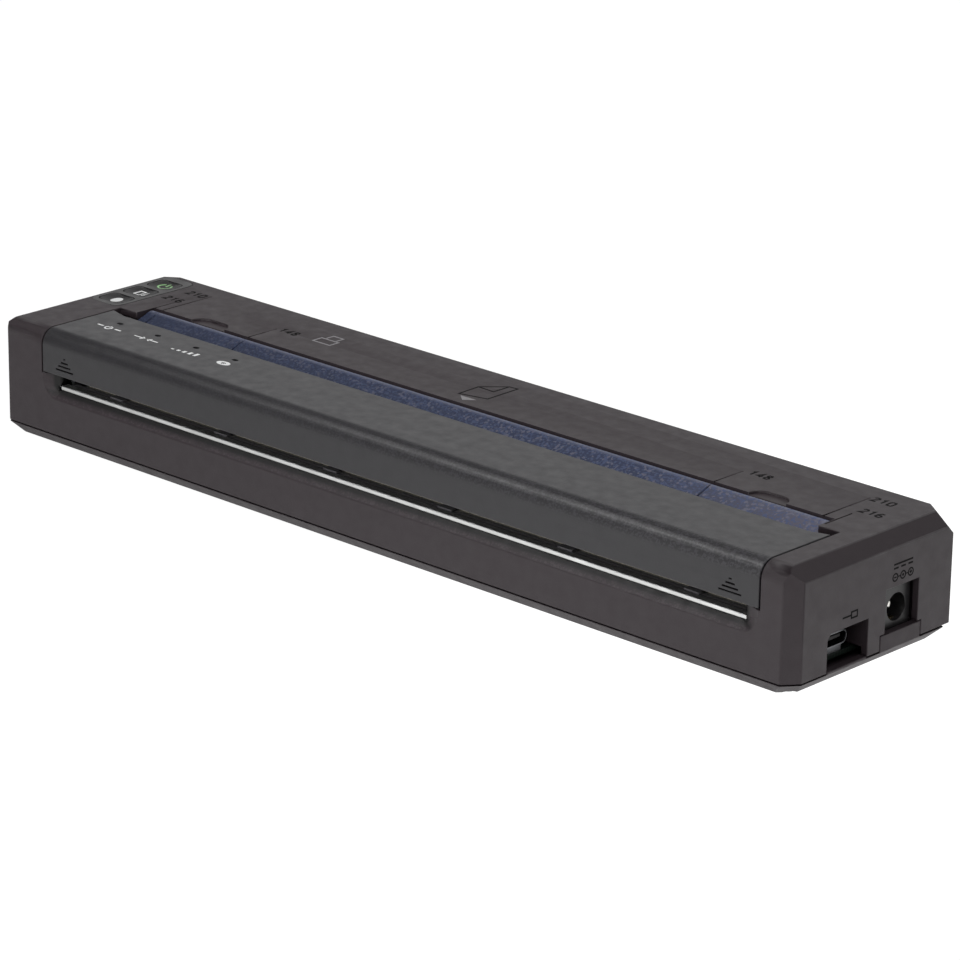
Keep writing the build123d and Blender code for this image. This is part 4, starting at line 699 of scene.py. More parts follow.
def scatter_tree():
    """Tree that strews small boxes over a level field, from a fixed seed."""
    fields = (
        ("Length", "Float", 100 * MM, 0.0),
        ("Depth", "Float", 10 * MM, 0.0),
        ("Middle", "Vector", (0, 0, 0), None),
        ("Part Size", "Vector", SMALL_PART, None),
        ("Spacing", "Float", 3 * MM, 0.0),
        ("Density", "Float", 60000.0, 0.0),
        ("Seed", "Int", SMALL_PART_SEED, None),
        ("Material", "Material", None, None),
    )
    tree, inputs, given = grown_tree("Small Board Parts", fields)
    values = {"Size X": given["Length"], "Size Y": given["Depth"]}
    grid = made(tree, "GeometryNodeMeshGrid", values)
    values = {"Geometry": grid.outputs["Mesh"], "Translation": given["Middle"]}
    moved = made(tree, "GeometryNodeTransform", values)
    values = {
        "Mesh": moved.outputs["Geometry"],
        "Distance Min": given["Spacing"],
        "Density Max": given["Density"],
        "Seed": given["Seed"],
    }
    points = made(
        tree, "GeometryNodeDistributePointsOnFaces", values, distribute_method="POISSON"
    )
    box = made(tree, "GeometryNodeMeshCube", {"Size": given["Part Size"]})
    turn = made(tree, "FunctionNodeRandomValue", {"Seed": given["Seed"]}, data_type="INT")
    limits = [entry for entry in turn.inputs if entry.type == "INT"]
    limits[0].default_value, limits[1].default_value = 0, 1
    drawn = next(output for output in turn.outputs if output.type == "INT")
    quarters = calculated(tree, "MULTIPLY", drawn, math.pi / 2)
    values = {
        "Points": points.outputs["Points"],
        "Instance": box.outputs["Mesh"],
        "Rotation": made(tree, "ShaderNodeCombineXYZ", {"Z": quarters}).outputs["Vector"],
    }
    coated(tree, given, made(tree, "GeometryNodeInstanceOnPoints", values))
    return tree, inputs


def row_of_bars(name, corners, count, start, step, material, body, node_slot):
    """Row of equal small boxes, made from one between two corners."""
    bar = prototype(name + "_pattern", lambda shape: add_bar(shape, *corners))
    values = {"Prototype": bar, "Count": count, "Start": start, "Step": step, "Material": material}
    grown(name, row_tree(), values, body, node_slot)
    bpy.data.objects.remove(bar)


def grown(name, tree_and_inputs, values, body, node_slot=None, smooth=SHARP_ANGLE):
    """Plain mesh piece from a tree and the values of its inputs."""
    tree, inputs = tree_and_inputs
    work = bpy.data.objects.new(name + "_work", bpy.data.meshes.new(name + "_work"))
    linked(work)
    modifier = work.modifiers.new("Rows", "NODES")
    modifier.node_group = tree
    for key, value in values.items():
        modifier[inputs[key]] = value
    mesh = baked(work)
    if not mesh.polygons:
        raise RuntimeError(f"the tree made nothing for {name}")
    return keep(name, mesh, body, None, node_slot, smooth)


def prototype(name, build):
    """Hidden object that a row repeats, built by a function on an empty bmesh."""
    shape = bmesh.new()
    build(shape)
    source = bpy.data.objects.new(name, faced_out(shape, name))
    linked(source)
    return source


def add_bar(shape, low, high):
    """Box between two corners."""
    centre = (Vector(low) + Vector(high)) / 2
    size = Vector(high) - Vector(low)
    stretched = Matrix.Translation(centre) @ Matrix.Diagonal((*size, 1))
    bmesh.ops.create_cube(shape, size=1.0, matrix=stretched)


# ---------------------------------------------------------------- settings
def shade(name, description, red, green, blue):
    """Setting for a colour."""
    return bpy.props.FloatVectorProperty(
        name=name, description=description, subtype="COLOR", size=4, default=tint(red, green, blue)
    )


def length(name, description, default):
    """Setting for a length, in millimetres."""
    return bpy.props.FloatProperty(
        name=name, description=description, unit="LENGTH", default=default * MM, min=0.0
    )


def level(name, description, default):
    """Setting for a strength, a share or a power."""
    return bpy.props.FloatProperty(name=name, description=description, default=default, min=0.0)


class PrinterColours(bpy.types.PropertyGroup):
    case: shade("Case", "Colour of the case", 53, 45, 49)
    cover: shade("Cover", "Colour of the release cover", 46, 45, 48)
    ramp: shade("Ramp", "Colour of the paper ramp", 50, 57, 80)
    keypad: shade("Keypad", "Colour of the keypad's frame", 56, 55, 56)
    ink: shade("White print", "Colour of the printed marks", 244, 245, 245)
    # dark print, also the colour of the painted shade in the sunk lines and grooves
    dark_ink_and_shade: shade("Dark print", "Colour of the sunk marks", 12, 10, 11)
    power: shade("Power ring", "Colour of the power sign", 150, 205, 138)


class PrinterSizes(bpy.types.PropertyGroup):
    edge: length("Edge", "Rounding of moulded edges", 0.22)
    fine_edge: length("Fine edge", "Rounding of small pieces' edges", 0.1)
    grain: length("Grain", "Width of the mould's grain", 0.35)
    grain_depth: length("Grain depth", "Height of the mould's grain", 0.02)
    print_height: length("Print height", "Thickness of printed marks", 0.015)
    print_line: length("Print line", "Width of the printed lines", 0.44)


class StageLight(bpy.types.PropertyGroup):
    sky: level("Sky", "Strength of the light from the horizon behind", 0.9)
    front: level("Front", "Share of the horizon's light that comes from the front", 0.12)
    zenith: level("Zenith", "Share of the sky's light that comes from high up", 0.03)
    floor_left: level("Floor left", "Brightness of the mirrored floor at the left end", 0.78)
    floor_right: level(
        "Floor right", "Brightness of the mirrored floor near the right end", 1.2
    )
    key: level("Overhead", "Power of the lamp overhead in watts", 2.0)
    right: level("Right", "Power of the lamp at the front right in watts", 1.5)
    low: level("Low", "Power of the low lamp in front in watts", 1.8)
    fill: level("Rounding", "Power of the small lamp that the front rounding mirrors", 0.55)


def colours():
    return bpy.context.scene.printer_colours


def sizes():
    return bpy.context.scene.printer_sizes


def lights():
    return bpy.context.scene.printer_light


# ---------------------------------------------------------------- operators
class PRINTER_OT_case(bpy.types.Operator):
    """Upper and lower case with softened edges and a moulded grain"""

    bl_idname = "printer.case"
    bl_label = "Case"

    def execute(self, context):
        size = sizes()
        colour = tuple(colours().case)
        finish = moulded("case_plastic", colour, 0.5, size.grain, size.grain_depth, 0.44)
        # rolled lip under the exit slot, up to the right end, with light flecks as painted glints
        # and painted shade on its upper part under the tear strip
        lip = finish.within(
            ("Z", 15.5, 14.5), ("Y", -27.5, -27.2), ("Y", -25.0, -25.4), ("X", 116.5, 115.5)
        )
        finish.flecked(0.45 * MM, 0.4, scaled(finish.colour, 1.5), lip)
        shadow = finish.both(finish.along("Z", 13.4 * MM, 14.4 * MM), lip)
        finish.mixed(finish.spread(shadow, 0.0, 0.85, 0.0, 1.0), scaled(finish.colour, 0.2))
        # painted shade on the walls of the slot's recess; the mask also takes in the case's faces
        # farther back at the same heights, the rear face among them
        recess_shade = finish.within(
            ("Y", -26.6, -26.2), ("Z", 19.6, 19.2), ("X", 115, 114), ("X", -109.5, -108.5)
        )
        finish.mixed(finish.both(recess_shade, finish.along("Z", 8 * MM, 10 * MM)), tint(12, 10, 11))
        softened("upper_case", size.edge, "case", finish)
        base = moulded("base_plastic", colour, 0.55, size.grain, size.grain_depth, 0.38)
        softened("bottom_case", size.edge, "case", base)
        return {"FINISHED"}


class PRINTER_OT_cover(bpy.types.Operator):
    """Release cover, with painted glints along its front rounding"""

    bl_idname = "printer.cover"
    bl_label = "Release Cover"

    def execute(self, context):
        size = sizes()
        colour = tuple(colours().cover)
        finish = moulded("cover_plastic", colour, 0.41, size.grain, size.grain_depth)
        # painted glints on the front rounding, more of them towards the right where the light
        # falls
        painted_glint_share = finish.within(("Y", -22.5, -24.0), ("Z", 26.0, 27.0), ("X", -140, 110))
        finish.flecked(0.4 * MM, 0.55, scaled(finish.colour, 1.9), painted_glint_share)
        softened("release_cover", size.edge, "cover", finish)
        return {"FINISHED"}


class PRINTER_OT_paper_path(bpy.types.Operator):
    """Paper ramp in flake paint, exit guide, tear strip and the small black plastic pieces"""

    bl_idname = "printer.paper_path"
    bl_label = "Paper Path"

    def execute(self, context):
        size = sizes()
        ramp = Finish("ramp_plastic", tuple(colours().ramp), 0.55, metallic=0.1, specular=0.35)
        ramp.mottled(14 * MM, 0.06)
        # painted light: the ramp grows lighter towards the right, where more light falls
        ramp.mixed(ramp.along("X", -60 * MM, 70 * MM), scaled(ramp.colour, 1.3))
        ramp.mixed(ramp.along("X", 60 * MM, 110 * MM), tint(98, 97, 112))
        # painted highlight along the ramp's rounded rear crest
        crest_highlight = ramp.along("Y", 2.3 * MM, 3.2 * MM)
        ramp.mixed(ramp.spread(crest_highlight, 0.0, 0.8, 0.0, 1.0), tint(118, 122, 140))
        # flakes of the flake paint; their share grows towards the right as painted glints of the
        # light that falls there
        painted_glint_share = ramp.along("X", -150 * MM, 110 * MM)
        ramp.flecked(0.45 * MM, 0.45, scaled(ramp.colour, 2.6), painted_glint_share)
        ramp.flecked(0.62 * MM, 0.2, tint(110, 110, 126), painted_glint_share)
        ramp.glossed(0.6 * MM, 0.1)
        ramp.grained(0.5 * MM, 0.02 * MM)
        softened("inlet_guide", size.edge, "case", ramp)
        black = moulded("black_plastic", tint(38, 37, 38), 0.5, 0.3 * MM, 0.012 * MM)
        guide = moulded("guide_plastic", tint(116, 114, 118), 0.5, 0.3 * MM, 0.012 * MM)
        softened("exit_guide", size.fine_edge, "case", guide, 1)
        for node in ("paper_sensor", "contact_block", "usb_tongue"):
            paint(node, black)
        bar = sheet_metal("bright_steel", tint(232, 233, 232), 0.45)
        low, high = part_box("tear_bar")
        low.y -= STRIP_FORWARD
        high.z += STRIP_RAISED
        strip = keep("tear_strip", rounded_bar(low, high, 0.25 * MM), "case", bar.material)
        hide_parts("tear_bar")
        return {"FINISHED"}


class PRINTER_OT_keypad(bpy.types.Operator):
    """Keypad frame, three dished keys and the ribbon from their board"""

    bl_idname = "printer.keypad"
    bl_label = "Keypad"

    def execute(self, context):
        size = sizes()
        rim = moulded("keypad_plastic", tuple(colours().keypad), 0.42, size.grain, 0.0)
        softened("keypad_frame", size.edge, "case", rim)
        cap = moulded("key_plastic", scaled(tuple(colours().keypad), 0.7), 0.55, size.grain, 0.0)
        for node, body in KEYS:
            smoothed(node, body, cap)
        ribbon = Finish("ribbon", tint(188, 150, 92), 0.35).mottled(2 * MM, 0.08, (1.0, 0.2, 1.0))
        paint("key_ribbon", ribbon)
        return {"FINISHED"}


class PRINTER_OT_printed_marks(bpy.types.Operator):
    """White signs on the cover and keys, pale and dark signs on the case, painted shade in the
    lines
    """

    bl_idname = "printer.printed_marks"
    bl_label = "Printed Marks"

    def execute(self, context):
        self.height, self.line = sizes().print_height, sizes().print_line
        tones = colours()
        self.white = self.ink("white_print", tones.ink, 0.5, 0.04, "white_plastic")
        # dark ink for print and for the painted shade in the sunk lines and grooves
        self.dark = self.ink("dark_print_and_shade", tones.dark_ink_and_shade, 0.6, 0.1, "black_plastic", 0.06)
        self.green = self.ink("green_print", tones.power, 0.4, 0.05, "lens")
        self.mark_cover()
        self.mark_keys()
        rear = self.marks(on_top(0, 0))
        for figures, x, y in PAPER_FIGURES:
            number(rear, figures, (x * MM, y * MM), 2.3 * MM, 0.55 * MM)
        rear.finish("rear_figures", "case", *self.dark)
        self.mark_deck()
        self.shade_lines()
        self.mark_end()
        return {"FINISHED"}

    def ink(self, name, colour, roughness, drift, node_slot, specular=0.5):
        """Printing ink with a slight drift of colour, and the slot that it goes by."""
        finish = Finish(name, tuple(colour), roughness, specular=specular)
        return finish.mottled(1.5 * MM, drift).material, node_slot

    def marks(self, place):
        """New set of marks as thick as the print."""
        return Marks(place, self.height)

    def mark_cover(self):
        """Signs of the four indicators."""
        cover = self.marks(on_top(0, 0))
        power_sign(cover, (-101.3 * MM, -14.7 * MM), 0.95 * MM, self.line)
        for side in (-1, 1):
            dash = spots((-101.3 + side * 2.1, -14.5), (-101.3 + side * 4.2, -14.5))
            cover.stroke(dash, 1.3 * self.line)
        for run in (((-92.2, -14.4), (-88.6, -14.4)), ((-83.8, -14.4), (-87.4, -14.4))):
            arrow(cover, *spots(*run), 0.95 * MM, self.line)
        for step in range(5):
            x = -77.6 + 1.9 * step
            cover.stroke(spots((x, -15.4), (x, -14.9 + 0.35 * step)), 0.95 * MM)
        cover.disc((-60.7 * MM, -14.2 * MM), 2.1 * MM, 1.25 * MM)
        cover.finish("cover_signs", "cover", *self.white)
        cut = self.marks(on_top(-60.7 * MM, -14.5 * MM, TOP + self.height))
        waves(cut, (0, -0.35 * MM), 1.05 * MM, 0.28 * MM)
        cut.finish("cover_sign_waves", "cover", *self.dark)

    def mark_keys(self):
        """Power ring, sheet with an arrow, and wireless oval."""
        for node, body in KEYS:
            low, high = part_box(node)
            place = on_surface(node, (low.x + high.x) / 2, (low.y + high.y) / 2)
            signs = self.marks(place)
            if node == "power_key":
                power_sign(signs, (0, 0), 1.75 * MM, 0.5 * MM)
                signs.finish("power_sign", body, *self.green)
            elif node == "feed_key":
                outline = spots((-1.2, -1.3), (-1.2, 1.3), (0.6, 1.3), (0.6, -1.3))
                signs.stroke(outline, 0.42 * MM, True)
                arrow(signs, *spots((1.7, 1.3), (1.7, -1.3)), 0.7 * MM, 0.42 * MM)
                signs.finish("feed_sign", body, *self.white)
            else:
                signs.disc((0, 0), 1.4 * MM, 1.8 * MM)
                signs.finish("wireless_sign", body, *self.white)
                over = self.marks(raised(place, self.height))
                waves(over, (0, -0.6 * MM), 1.2 * MM, 0.3 * MM)
                over.finish("wireless_sign_waves", body, *self.dark)

    def mark_deck(self):
        """Sheet sign, page outline and its pointer."""
        pale = self.ink("pale_print", tint(140, 138, 141), 0.5, 0.05, "case_plastic")
        line = 0.5 * MM
        sheet = self.marks(on_top(-55.9 * MM, 16.6 * MM))
        sheet.stroke(spots((-2.9, -2.6), (-2.9, 0.5), (2.9, 0.5), (2.9, -2.6)), line, True)
        sheet.stroke(spots((-1.7, 0.9), (-1.7, 3.4), (1.7, 3.4), (1.7, 0.9)), line)
        sheet.finish("sheet_sign", "case", *pale)
        page = self.marks(on_top(0, 0))
        outline = spots((-5.0, 9.4), (-5.3, 16.4), (-0.1, 21.6), (2.4, 21.8), (2.6, 11.2))
        page.stroke(outline, line, True)
        page.stroke(spots((-5.3, 16.4), (-0.2, 16.2), (-0.1, 21.6)), line)
        page.finish("page_outline", "case", *self.dark)
        pointer = self.marks(on_top(-1.2 * MM, 7.8 * MM))
        pointer.area(spots((-2.6, 0.9), (0, -1.3), (2.6, 0.9)))
        pointer.finish("page_pointer", "case", *pale)

    def shade_lines(self):
        """Painted shade in the deck's sunk lines, down the ramp's lines and in the cover's
        grooves.
        """
        width = 0.44 * MM
        grooves = self.marks(on_top(0, 0, LINE_FLOOR))
        for x, start, stop in PAPER_LINES:
            grooves.stroke(spots((x, start), (x, stop)), width)
        grooves.finish("groove_shade", "case", *self.dark)
        # painted shade down the ramp's lines
        ramp = self.marks(on_surface("inlet_guide"))
        for x in RAMP_LINES:
            ramp.stroke(spots(*((x, -1.0 + 0.25 * step) for step in range(19))), 0.3 * MM)
        ramp.finish("ramp_lines", "case", *self.dark)
        # painted shade in the grooves of the opening signs
        face = self.marks(on_front(GROOVE_FLOOR))
        for x in OPEN_SIGNS:
            for row, across in enumerate(OPEN_SIGN_WIDTHS):
                half, height = across / 2 * MM, (21.0 + row) * MM
                face.stroke([(x * MM - half, height), (x * MM + half, height)], width)
        face.finish("open_signs", "cover", *self.dark)

    def mark_end(self):
        """Signs of the two sockets: polarity rings, direct current and a plug."""
        end = self.marks(on_end(0, 0))
        for y, dot in ((7.2, False), (9.9, True), (12.6, False)):
            end.ring((y * MM, 19.8 * MM), 0.85 * MM, 0.34 * MM)
            if dot:
                end.disc((y * MM, 19.8 * MM), 0.34 * MM, 0.34 * MM, 10)
            else:
                end.stroke(spots((y - 0.45, 19.8), (y + 0.45, 19.8)), 0.3 * MM)
        end.stroke(spots((12.6, 19.35), (12.6, 20.25)), 0.3 * MM)
        for y in (8.05, 10.75):
            end.stroke(spots((y, 19.8), (y + 1.0, 19.8)), 0.26 * MM)
        end.stroke(spots((6.6, 22.8), (13.2, 22.8)), 0.42 * MM)
        for y in (6.6, 9.1, 11.6):
            end.stroke(spots((y, 21.9), (y + 1.6, 21.9)), 0.42 * MM)
        end.stroke(spots((-10.6, 15.1), (-7.6, 15.1)), 0.4 * MM)
        plug = spots((-7.6, 14.4), (-7.6, 15.8), (-5.6, 15.8), (-5.6, 14.4))
        end.stroke(plug, 0.4 * MM, True)
        end.finish("end_signs", "case", *self.dark)


class PRINTER_OT_indicators(bpy.types.Operator):
    """Smoked lenses of the four indicators"""

    bl_idname = "printer.indicators"
    bl_label = "Indicators"

    def execute(self, context):
        lens = Finish("lens", tint(26, 26, 28), 0.18).mottled(1 * MM, 0.1)
        paint("led_lenses", lens)
        return {"FINISHED"}


class PRINTER_OT_sockets(bpy.types.Operator):
    """Data and power sockets with their contacts"""

    bl_idname = "printer.sockets"
    bl_label = "Sockets"

    def execute(self, context):
        size = sizes()
        shell = sheet_metal("socket_steel", tint(120, 121, 124), 0.34, TURNED)
        softened("usb_socket", 0.06 * MM, "case", shell, 1)
        housing = moulded("jack_plastic", tint(30, 29, 30), 0.34, 0.3 * MM, 0.008 * MM)
        softened("power_jack", size.fine_edge, "case", housing, 1)
        pin = sheet_metal("pin_nickel", tint(232, 230, 224), 0.16, TURNED)
        softened("jack_pin", 0.05 * MM, "case", pin, 1)
        spring = sheet_metal("contact_brass", tint(206, 190, 150), 0.24, TURNED)
        paint("jack_contact", spring)
        paint("contact_blades", spring)
        low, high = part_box("usb_tongue")
        row_of_bars(
            "usb_pads",
            ((0, -0.13 * MM, 0), (4.2 * MM, 0.13 * MM, 0.04 * MM)),
            CONTACTS,
            (high.x - 4.6 * MM, (low.y + high.y) / 2 - 2.5 * MM, high.z),
            (0.0, CONTACT_PITCH, 0.0),
            spring.material,
            "case",
            "contact_brass",
        )
        return {"FINISHED"}


class PRINTER_OT_fasteners(bpy.types.Operator):
    """Rubber feet, case screws and the small screws inside"""

    bl_idname = "printer.fasteners"
    bl_label = "Feet and Screws"

    def execute(self, context):
        rubber = Finish("foot_rubber", tint(36, 36, 37), 0.78).mottled(2 * MM, 0.12)
        rubber.grained(0.25 * MM, 0.03 * MM)
        softened("rubber_feet", 0.3 * MM, "case", rubber)
        screw = sheet_metal("screw_steel", tint(92, 92, 96), 0.34, (1.0, 1.0, 8.0))
        for node in ("case_screws", "chassis_screws", "board_screws", "motor_screws"):
            paint(node, screw)
        return {"FINISHED"}


class PRINTER_OT_chassis(bpy.types.Operator):
    """Zinc-plated frames and plate, turned pins and shafts, springs and clips"""

    bl_idname = "printer.chassis"
    bl_label = "Chassis"

    def execute(self, context):
        steel = Finish("steel", tint(168, 170, 172), 0.36, metallic=1.0)
        value = steel.cells(2.2 * MM)
        steel.mixed(steel.spread(value, 0.0, 0.6, 0.0, 1.0), scaled(steel.colour, 0.72))
        steel.glossed(2.2 * MM, 0.1).grained(0.5 * MM, 0.004 * MM)
        for node in ("side_frame_left", "side_frame_right", "chassis_plate"):
            softened(node, 0.12 * MM, "case", steel, 1)
        bright = sheet_metal("turned_steel", tint(204, 206, 208), 0.22, TURNED)
        for node in ("hinge_pins", "gear_pins", "head_pivot_pins", "platen_shaft", "motor_shaft"):
            paint(node, bright)
        spring = sheet_metal("spring_steel", tint(150, 152, 156), 0.3)
        paint("gear_clips", spring)
        self.coil(spring)
        return {"FINISHED"}

    def coil(self, spring):
        """Copy of the head springs, riding on the case with a mesh of its own."""
        coils = keep("coil_springs", NODES["head_springs"].data.copy(), "case", spring.material)
        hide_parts("head_springs")
        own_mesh(coils)


class PRINTER_OT_drive(bpy.types.Operator):
    """Platen roller, bushings, gears and stepper motor"""

    bl_idname = "printer.drive"
    bl_label = "Platen and Gears"

    def execute(self, context):
        size = sizes()
        rubber = Finish("platen_rubber", tint(46, 46, 48), 0.62)
        rubber.mottled(5 * MM, 0.1, (1.0, 0.3, 0.3))
        rubber.grained(0.18 * MM, 0.01 * MM, (1.0, 3.0, 3.0))
        softened("platen_sleeve", 0.15 * MM, "platen", rubber, 1)
        white = moulded("white_plastic", tint(214, 212, 204), 0.36, 0.4 * MM, 0.006 * MM)
        for body in ("platen", "idler", "reduction"):
            softened(body + "_gear", 0.05 * MM, body, white, 1)
        bush = moulded("bush_plastic", tint(48, 47, 48), 0.4, 0.3 * MM, 0.01 * MM)
        softened("platen_bushings", size.fine_edge, "case", bush, 1)
        brass = sheet_metal("pinion_brass", tint(196, 160, 88), 0.28, TURNED)
        softened("motor_pinion", 0.04 * MM, "rotor", brass, 1)
        can = sheet_metal("motor_steel", tint(158, 160, 162), 0.34, (1.0, 0.4, 12.0))
        softened("motor_body", 0.2 * MM, "case", can, 1)
        return {"FINISHED"}


class PRINTER_OT_print_head(bpy.types.Operator):
    """Aluminium carrier and ceramic strip with its heater line and bonded drivers"""

    bl_idname = "printer.print_head"
    bl_label = "Print Head"

    def execute(self, context):
        aluminium = sheet_metal("aluminium", tint(186, 188, 190), 0.36)
        softened("heat_sink", 0.15 * MM, "print_head", aluminium, 1)
        ceramic = Finish("ceramic", tint(214, 206, 186), 0.22)
        ceramic.mottled(3 * MM, 0.05).glossed(1 * MM, 0.05)
        softened("head_ceramic", 0.08 * MM, "print_head", ceramic, 1)
        low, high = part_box("head_ceramic")
        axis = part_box("platen_shaft")
        middle = (axis[0].y + axis[1].y) / 2
        glaze = Finish("heater_glaze", tint(70, 52, 44), 0.12).mottled(2 * MM, 0.1).material
        line = Marks(on_top(0, middle, high.z), 0.03 * MM)
        line.stroke([(low.x + 3 * MM, 0), (high.x - 3 * MM, 0)], 0.5 * MM)
        line.finish("heater_line", "print_head", glaze, "ceramic")
        resin = Finish("driver_resin", tint(24, 24, 26), 0.3).mottled(2 * MM, 0.1).material
        row_of_bars(
            "head_drivers",
            ((0, -0.7 * MM, 0), (13 * MM, 0.7 * MM, 0.12 * MM)),
            DRIVERS,
            (low.x + 12 * MM, middle - 3.2 * MM, high.z),
            (DRIVER_PITCH, 0.0, 0.0),
            resin,
            "print_head",
            "black_plastic",
        )
        return {"FINISHED"}


class PRINTER_OT_boards(bpy.types.Operator):
    """Green boards with tracks, chips, radio shield, capacitors and strewn small parts"""

    bl_idname = "printer.boards"
    bl_label = "Boards"

    def execute(self, context):
        board = Finish("board_green", tint(16, 26, 21), 0.32)
        black, white = (0, 0, 0, 1), (1, 1, 1, 1)
        values = {
            "Vector": board.place,
            "Scale": TRACK_SCALE,
            "Mortar Size": 0.06,
            "Color1": black,
            "Color2": black,
            "Mortar": white,
        }
        tracks = board.red(board.made("ShaderNodeTexBrick", values).outputs["Color"])
        board.mixed(tracks, scaled(board.colour, 1.45)).embossed(tracks, 0.02 * MM)
        for node in ("main_board", "key_board", "led_board"):
            paint(node, board)
        epoxy = moulded("chip_plastic", tint(34, 34, 36), 0.48, 0.2 * MM, 0.008 * MM)
        for node in ("board_chips", "key_switches"):
            paint(node, epoxy)
        shield = sheet_metal("radio_shield", tint(176, 178, 178), 0.3)
        softened("radio_module", 0.12 * MM, "case", shield, 1)
        can = sheet_metal("capacitor_can", tint(170, 172, 176), 0.3, (1.0, 1.0, 0.2))
        softened("capacitors", 0.3 * MM, "case", can)
        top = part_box("main_board")[1].z
        grown(
            "board_small_parts",
            scatter_tree(),
            {
                "Length": 150 * MM,
                "Depth": 9 * MM,
                "Middle": (5 * MM, -6.0 * MM, top + SMALL_PART[2] / 2),
                "Part Size": SMALL_PART,
                "Spacing": 3.4 * MM,
                "Density": 90000.0,
                "Seed": SMALL_PART_SEED,
                "Material": epoxy.material,
            },
            "case",
            "chip_plastic",
            None,
        )
        return {"FINISHED"}


class PRINTER_OT_battery(bpy.types.Operator):
    """Battery pack in its sleeve, and the cover on the underside"""

    bl_idname = "printer.battery"
    bl_label = "Battery"

    def execute(self, context):
        size = sizes()
        wrap = Finish("battery_wrap", tint(44, 46, 50), 0.4)
        wrap.mottled(12 * MM, 0.08).glossed(4 * MM, 0.08)
        softened("battery_pack", 0.3 * MM, "case", wrap)
        lid = moulded("lid_plastic", tuple(colours().case), 0.5, size.grain, size.grain_depth)
        softened("battery_cover", size.edge, "battery_door", lid)
        return {"FINISHED"}


def faded(tree, value, span, levels):
    """Level that fades softly from one to another while a value crosses a span."""
    return spread_over(tree, value, span, levels, "SMOOTHSTEP")


def blended(tree, share, first, second):
    """Shader that blends two others by a share."""
    values = {"Fac": share, 1: first.outputs[0], 2: second.outputs[0]}
    return made(tree, "ShaderNodeMixShader", values)


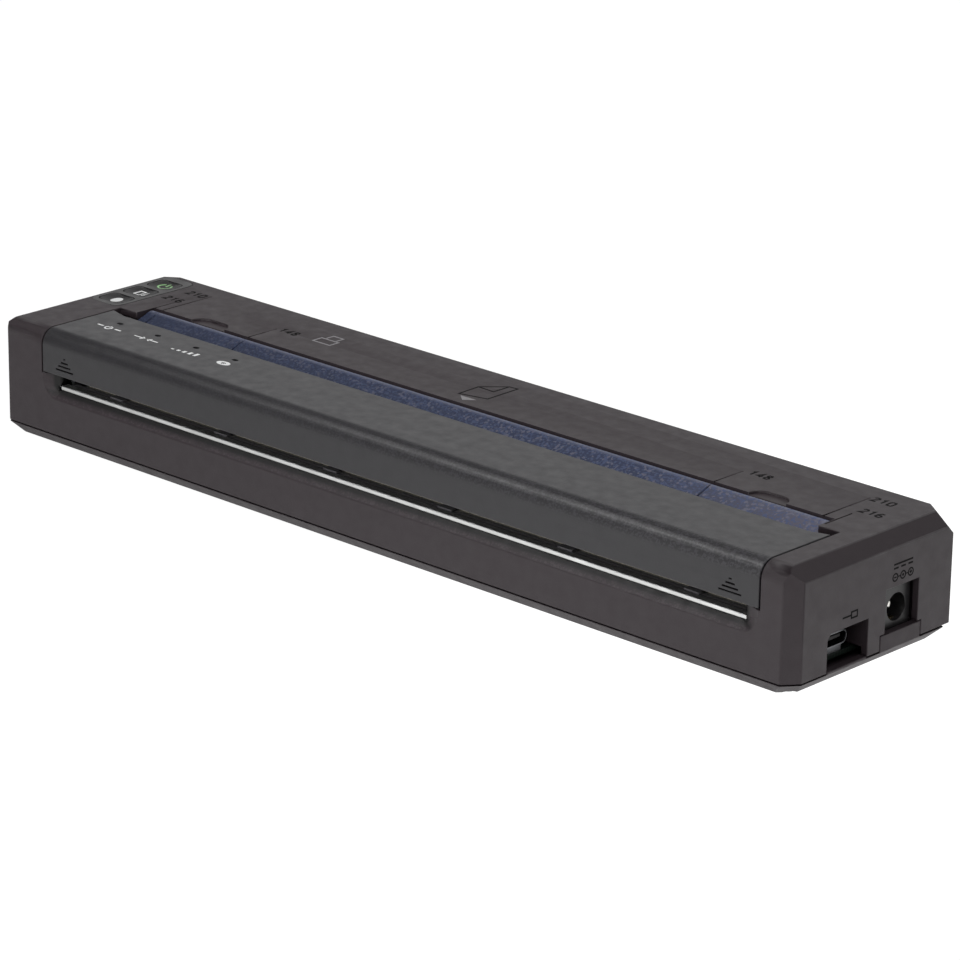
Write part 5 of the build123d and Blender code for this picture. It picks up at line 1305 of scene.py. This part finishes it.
class PRINTER_OT_stage(bpy.types.Operator):
    """Pale floor, light from the horizon, four soft lamps and the camera"""

    bl_idname = "printer.stage"
    bl_label = "Stage"

    def execute(self, context):
        scene, light = context.scene, lights()
        scene.view_settings.view_transform = "Standard"
        self.make_sky(scene, light)
        self.make_floor(light)
        lamps = (
            ("overhead_lamp", (-0.05, 0.35, 0.8), (0.0, 0.0, 0.0), 0.5, light.key),
            ("right_lamp", (0.45, -0.35, 0.55), (0.1, 0.0, 0.0), 0.4, light.right),
            ("front_lamp", (-0.1, -0.85, 0.3), (0.0, 0.0, 0.0), 0.5, light.low),
            ("rounding_lamp", (-0.2, -0.19, 0.37), (0.08, -0.02, 0.03), 0.2, light.fill),
        )
        for lamp in lamps:
            self.make_lamp(*lamp)
        self.make_camera(scene)
        return {"FINISHED"}

    def make_sky(self, scene, light):
        """White to the camera, and otherwise light from low down behind."""
        scene.world = bpy.data.worlds.new("even_light")
        tree = emptied(scene.world)
        ray = parted(tree, made(tree, "ShaderNodeTexCoord").outputs["Generated"])
        low = faded(tree, ray["Z"], (0.36, 0.58), (1.0, light.zenith))
        behind = faded(tree, ray["Y"], (-0.2, 0.8), (light.front, 1.0))
        shares = calculated(tree, "MULTIPLY", low, behind)
        cast = made(tree, "ShaderNodeBackground", {"Color": shares, "Strength": light.sky})
        seen = made(tree, "ShaderNodeBackground", {"Color": (1, 1, 1, 1), "Strength": 1.0})
        path = made(tree, "ShaderNodeLightPath").outputs
        sky = blended(tree, path["Is Camera Ray"], cast, seen)
        made(tree, "ShaderNodeOutputWorld", {"Surface": sky.outputs[0]})

    def make_floor(self, light):
        """White to the camera, shaded by the piece, and clear from below."""
        mesh = bpy.data.meshes.new("floor")
        corners = [(u * FLOOR_REACH, v * FLOOR_REACH, 0) for u, v in SQUARE]
        mesh.from_pydata(corners, [], [(0, 1, 2, 3)])
        floor = bpy.data.objects.new("floor", mesh)
        linked(floor)
        material = bpy.data.materials.new("pale_floor")
        tree = emptied(material)
        across = parted(tree, made(tree, "ShaderNodeTexCoord").outputs["Object"])["X"]
        path = made(tree, "ShaderNodeLightPath").outputs
        left, right = light.floor_left, light.floor_right
        rise = faded(tree, across, (-0.14, 0.08), (left, right))
        fall = faded(tree, across, (0.15, 0.26), (0.0, right - left))
        mirrored = calculated(tree, "SUBTRACT", rise, fall)
        viewed = faded(tree, path["Is Camera Ray"], (0.0, 1.0), (0.0, 1.04))
        strength = calculated(tree, "MAXIMUM", mirrored, viewed)
        glow = made(tree, "ShaderNodeEmission", {"Strength": strength})
        diffuse = made(tree, "ShaderNodeBsdfDiffuse", {"Color": (0.9, 0.9, 0.9, 1)})
        seen = calculated(tree, "MAXIMUM", path["Is Camera Ray"], path["Is Glossy Ray"])
        shown = blended(tree, calculated(tree, "MULTIPLY", seen, 0.96), diffuse, glow)
        clear = made(tree, "ShaderNodeBsdfTransparent")
        below = made(tree, "ShaderNodeNewGeometry").outputs["Backfacing"]
        sided = blended(tree, below, shown, clear)
        made(tree, "ShaderNodeOutputMaterial", {"Surface": sided.outputs[0]})
        mesh.materials.append(material)

    def make_lamp(self, name, place, target, size, power):
        lamp = bpy.data.lights.new(name, "AREA")
        lamp.shape = "DISK"
        lamp.size = size
        lamp.energy = power
        holder = bpy.data.objects.new(name, lamp)
        linked(holder)
        holder.location = place
        aim = Vector(target) - Vector(place)
        holder.rotation_mode = "QUATERNION"
        holder.rotation_quaternion = aim.to_track_quat("-Z", "Y")

    def make_camera(self, scene):
        azimuth, elevation, roll = (math.radians(angle) for angle in CAMERA_ANGLES)
        flat, rise = math.cos(elevation), math.sin(elevation)
        back = Vector((math.sin(azimuth) * flat, -math.cos(azimuth) * flat, rise))
        level = Vector((math.cos(azimuth), math.sin(azimuth), 0))
        upright = back.cross(level)
        across = level * math.cos(roll) + upright * math.sin(roll)
        up = upright * math.cos(roll) - level * math.sin(roll)
        data = bpy.data.cameras.new("camera")
        data.sensor_width = 36.0
        data.lens = FOCAL_PIXELS / RENDER_PIXELS * data.sensor_width
        data.clip_start, data.clip_end = 0.05, 20.0
        camera = bpy.data.objects.new("camera", data)
        linked(camera)
        turn = Matrix((across, up, back)).transposed()
        place = CAMERA_TARGET + back * CAMERA_DISTANCE * MM
        camera.matrix_world = Matrix.Translation(place) @ turn.to_4x4()
        scene.camera = camera


STEPS = (
    PRINTER_OT_case,
    PRINTER_OT_cover,
    PRINTER_OT_paper_path,
    PRINTER_OT_keypad,
    PRINTER_OT_indicators,
    PRINTER_OT_printed_marks,
    PRINTER_OT_sockets,
    PRINTER_OT_fasteners,
    PRINTER_OT_chassis,
    PRINTER_OT_drive,
    PRINTER_OT_print_head,
    PRINTER_OT_boards,
    PRINTER_OT_battery,
    PRINTER_OT_stage,
)


class PRINTER_PT_panel(bpy.types.Panel):
    """Sidebar panel with the printer's settings and steps"""

    bl_idname = "PRINTER_PT_panel"
    bl_label = "Thermal Printer"
    bl_space_type = "VIEW_3D"
    bl_region_type = "UI"
    bl_category = "Printer"

    def draw(self, context):
        for group in (colours(), sizes(), lights()):
            box = self.layout.box()
            for name in group.__annotations__:
                box.prop(group, name)
        for step in STEPS:
            self.layout.operator(step.bl_idname)


GROUPS = (PrinterColours, PrinterSizes, StageLight)


def register():
    for item in (*GROUPS, *STEPS, PRINTER_PT_panel):
        bpy.utils.register_class(item)
    bpy.types.Scene.printer_colours = bpy.props.PointerProperty(type=PrinterColours)
    bpy.types.Scene.printer_sizes = bpy.props.PointerProperty(type=PrinterSizes)
    bpy.types.Scene.printer_light = bpy.props.PointerProperty(type=StageLight)


def unregister():
    del bpy.types.Scene.printer_colours
    del bpy.types.Scene.printer_sizes
    del bpy.types.Scene.printer_light
    for item in reversed((*GROUPS, *STEPS, PRINTER_PT_panel)):
        bpy.utils.unregister_class(item)


def main():
    """Runs every step in order."""
    register()
    for step in STEPS:
        family, name = step.bl_idname.split(".")
        getattr(getattr(bpy.ops, family), name)()


if __name__ == "__main__":
    main()
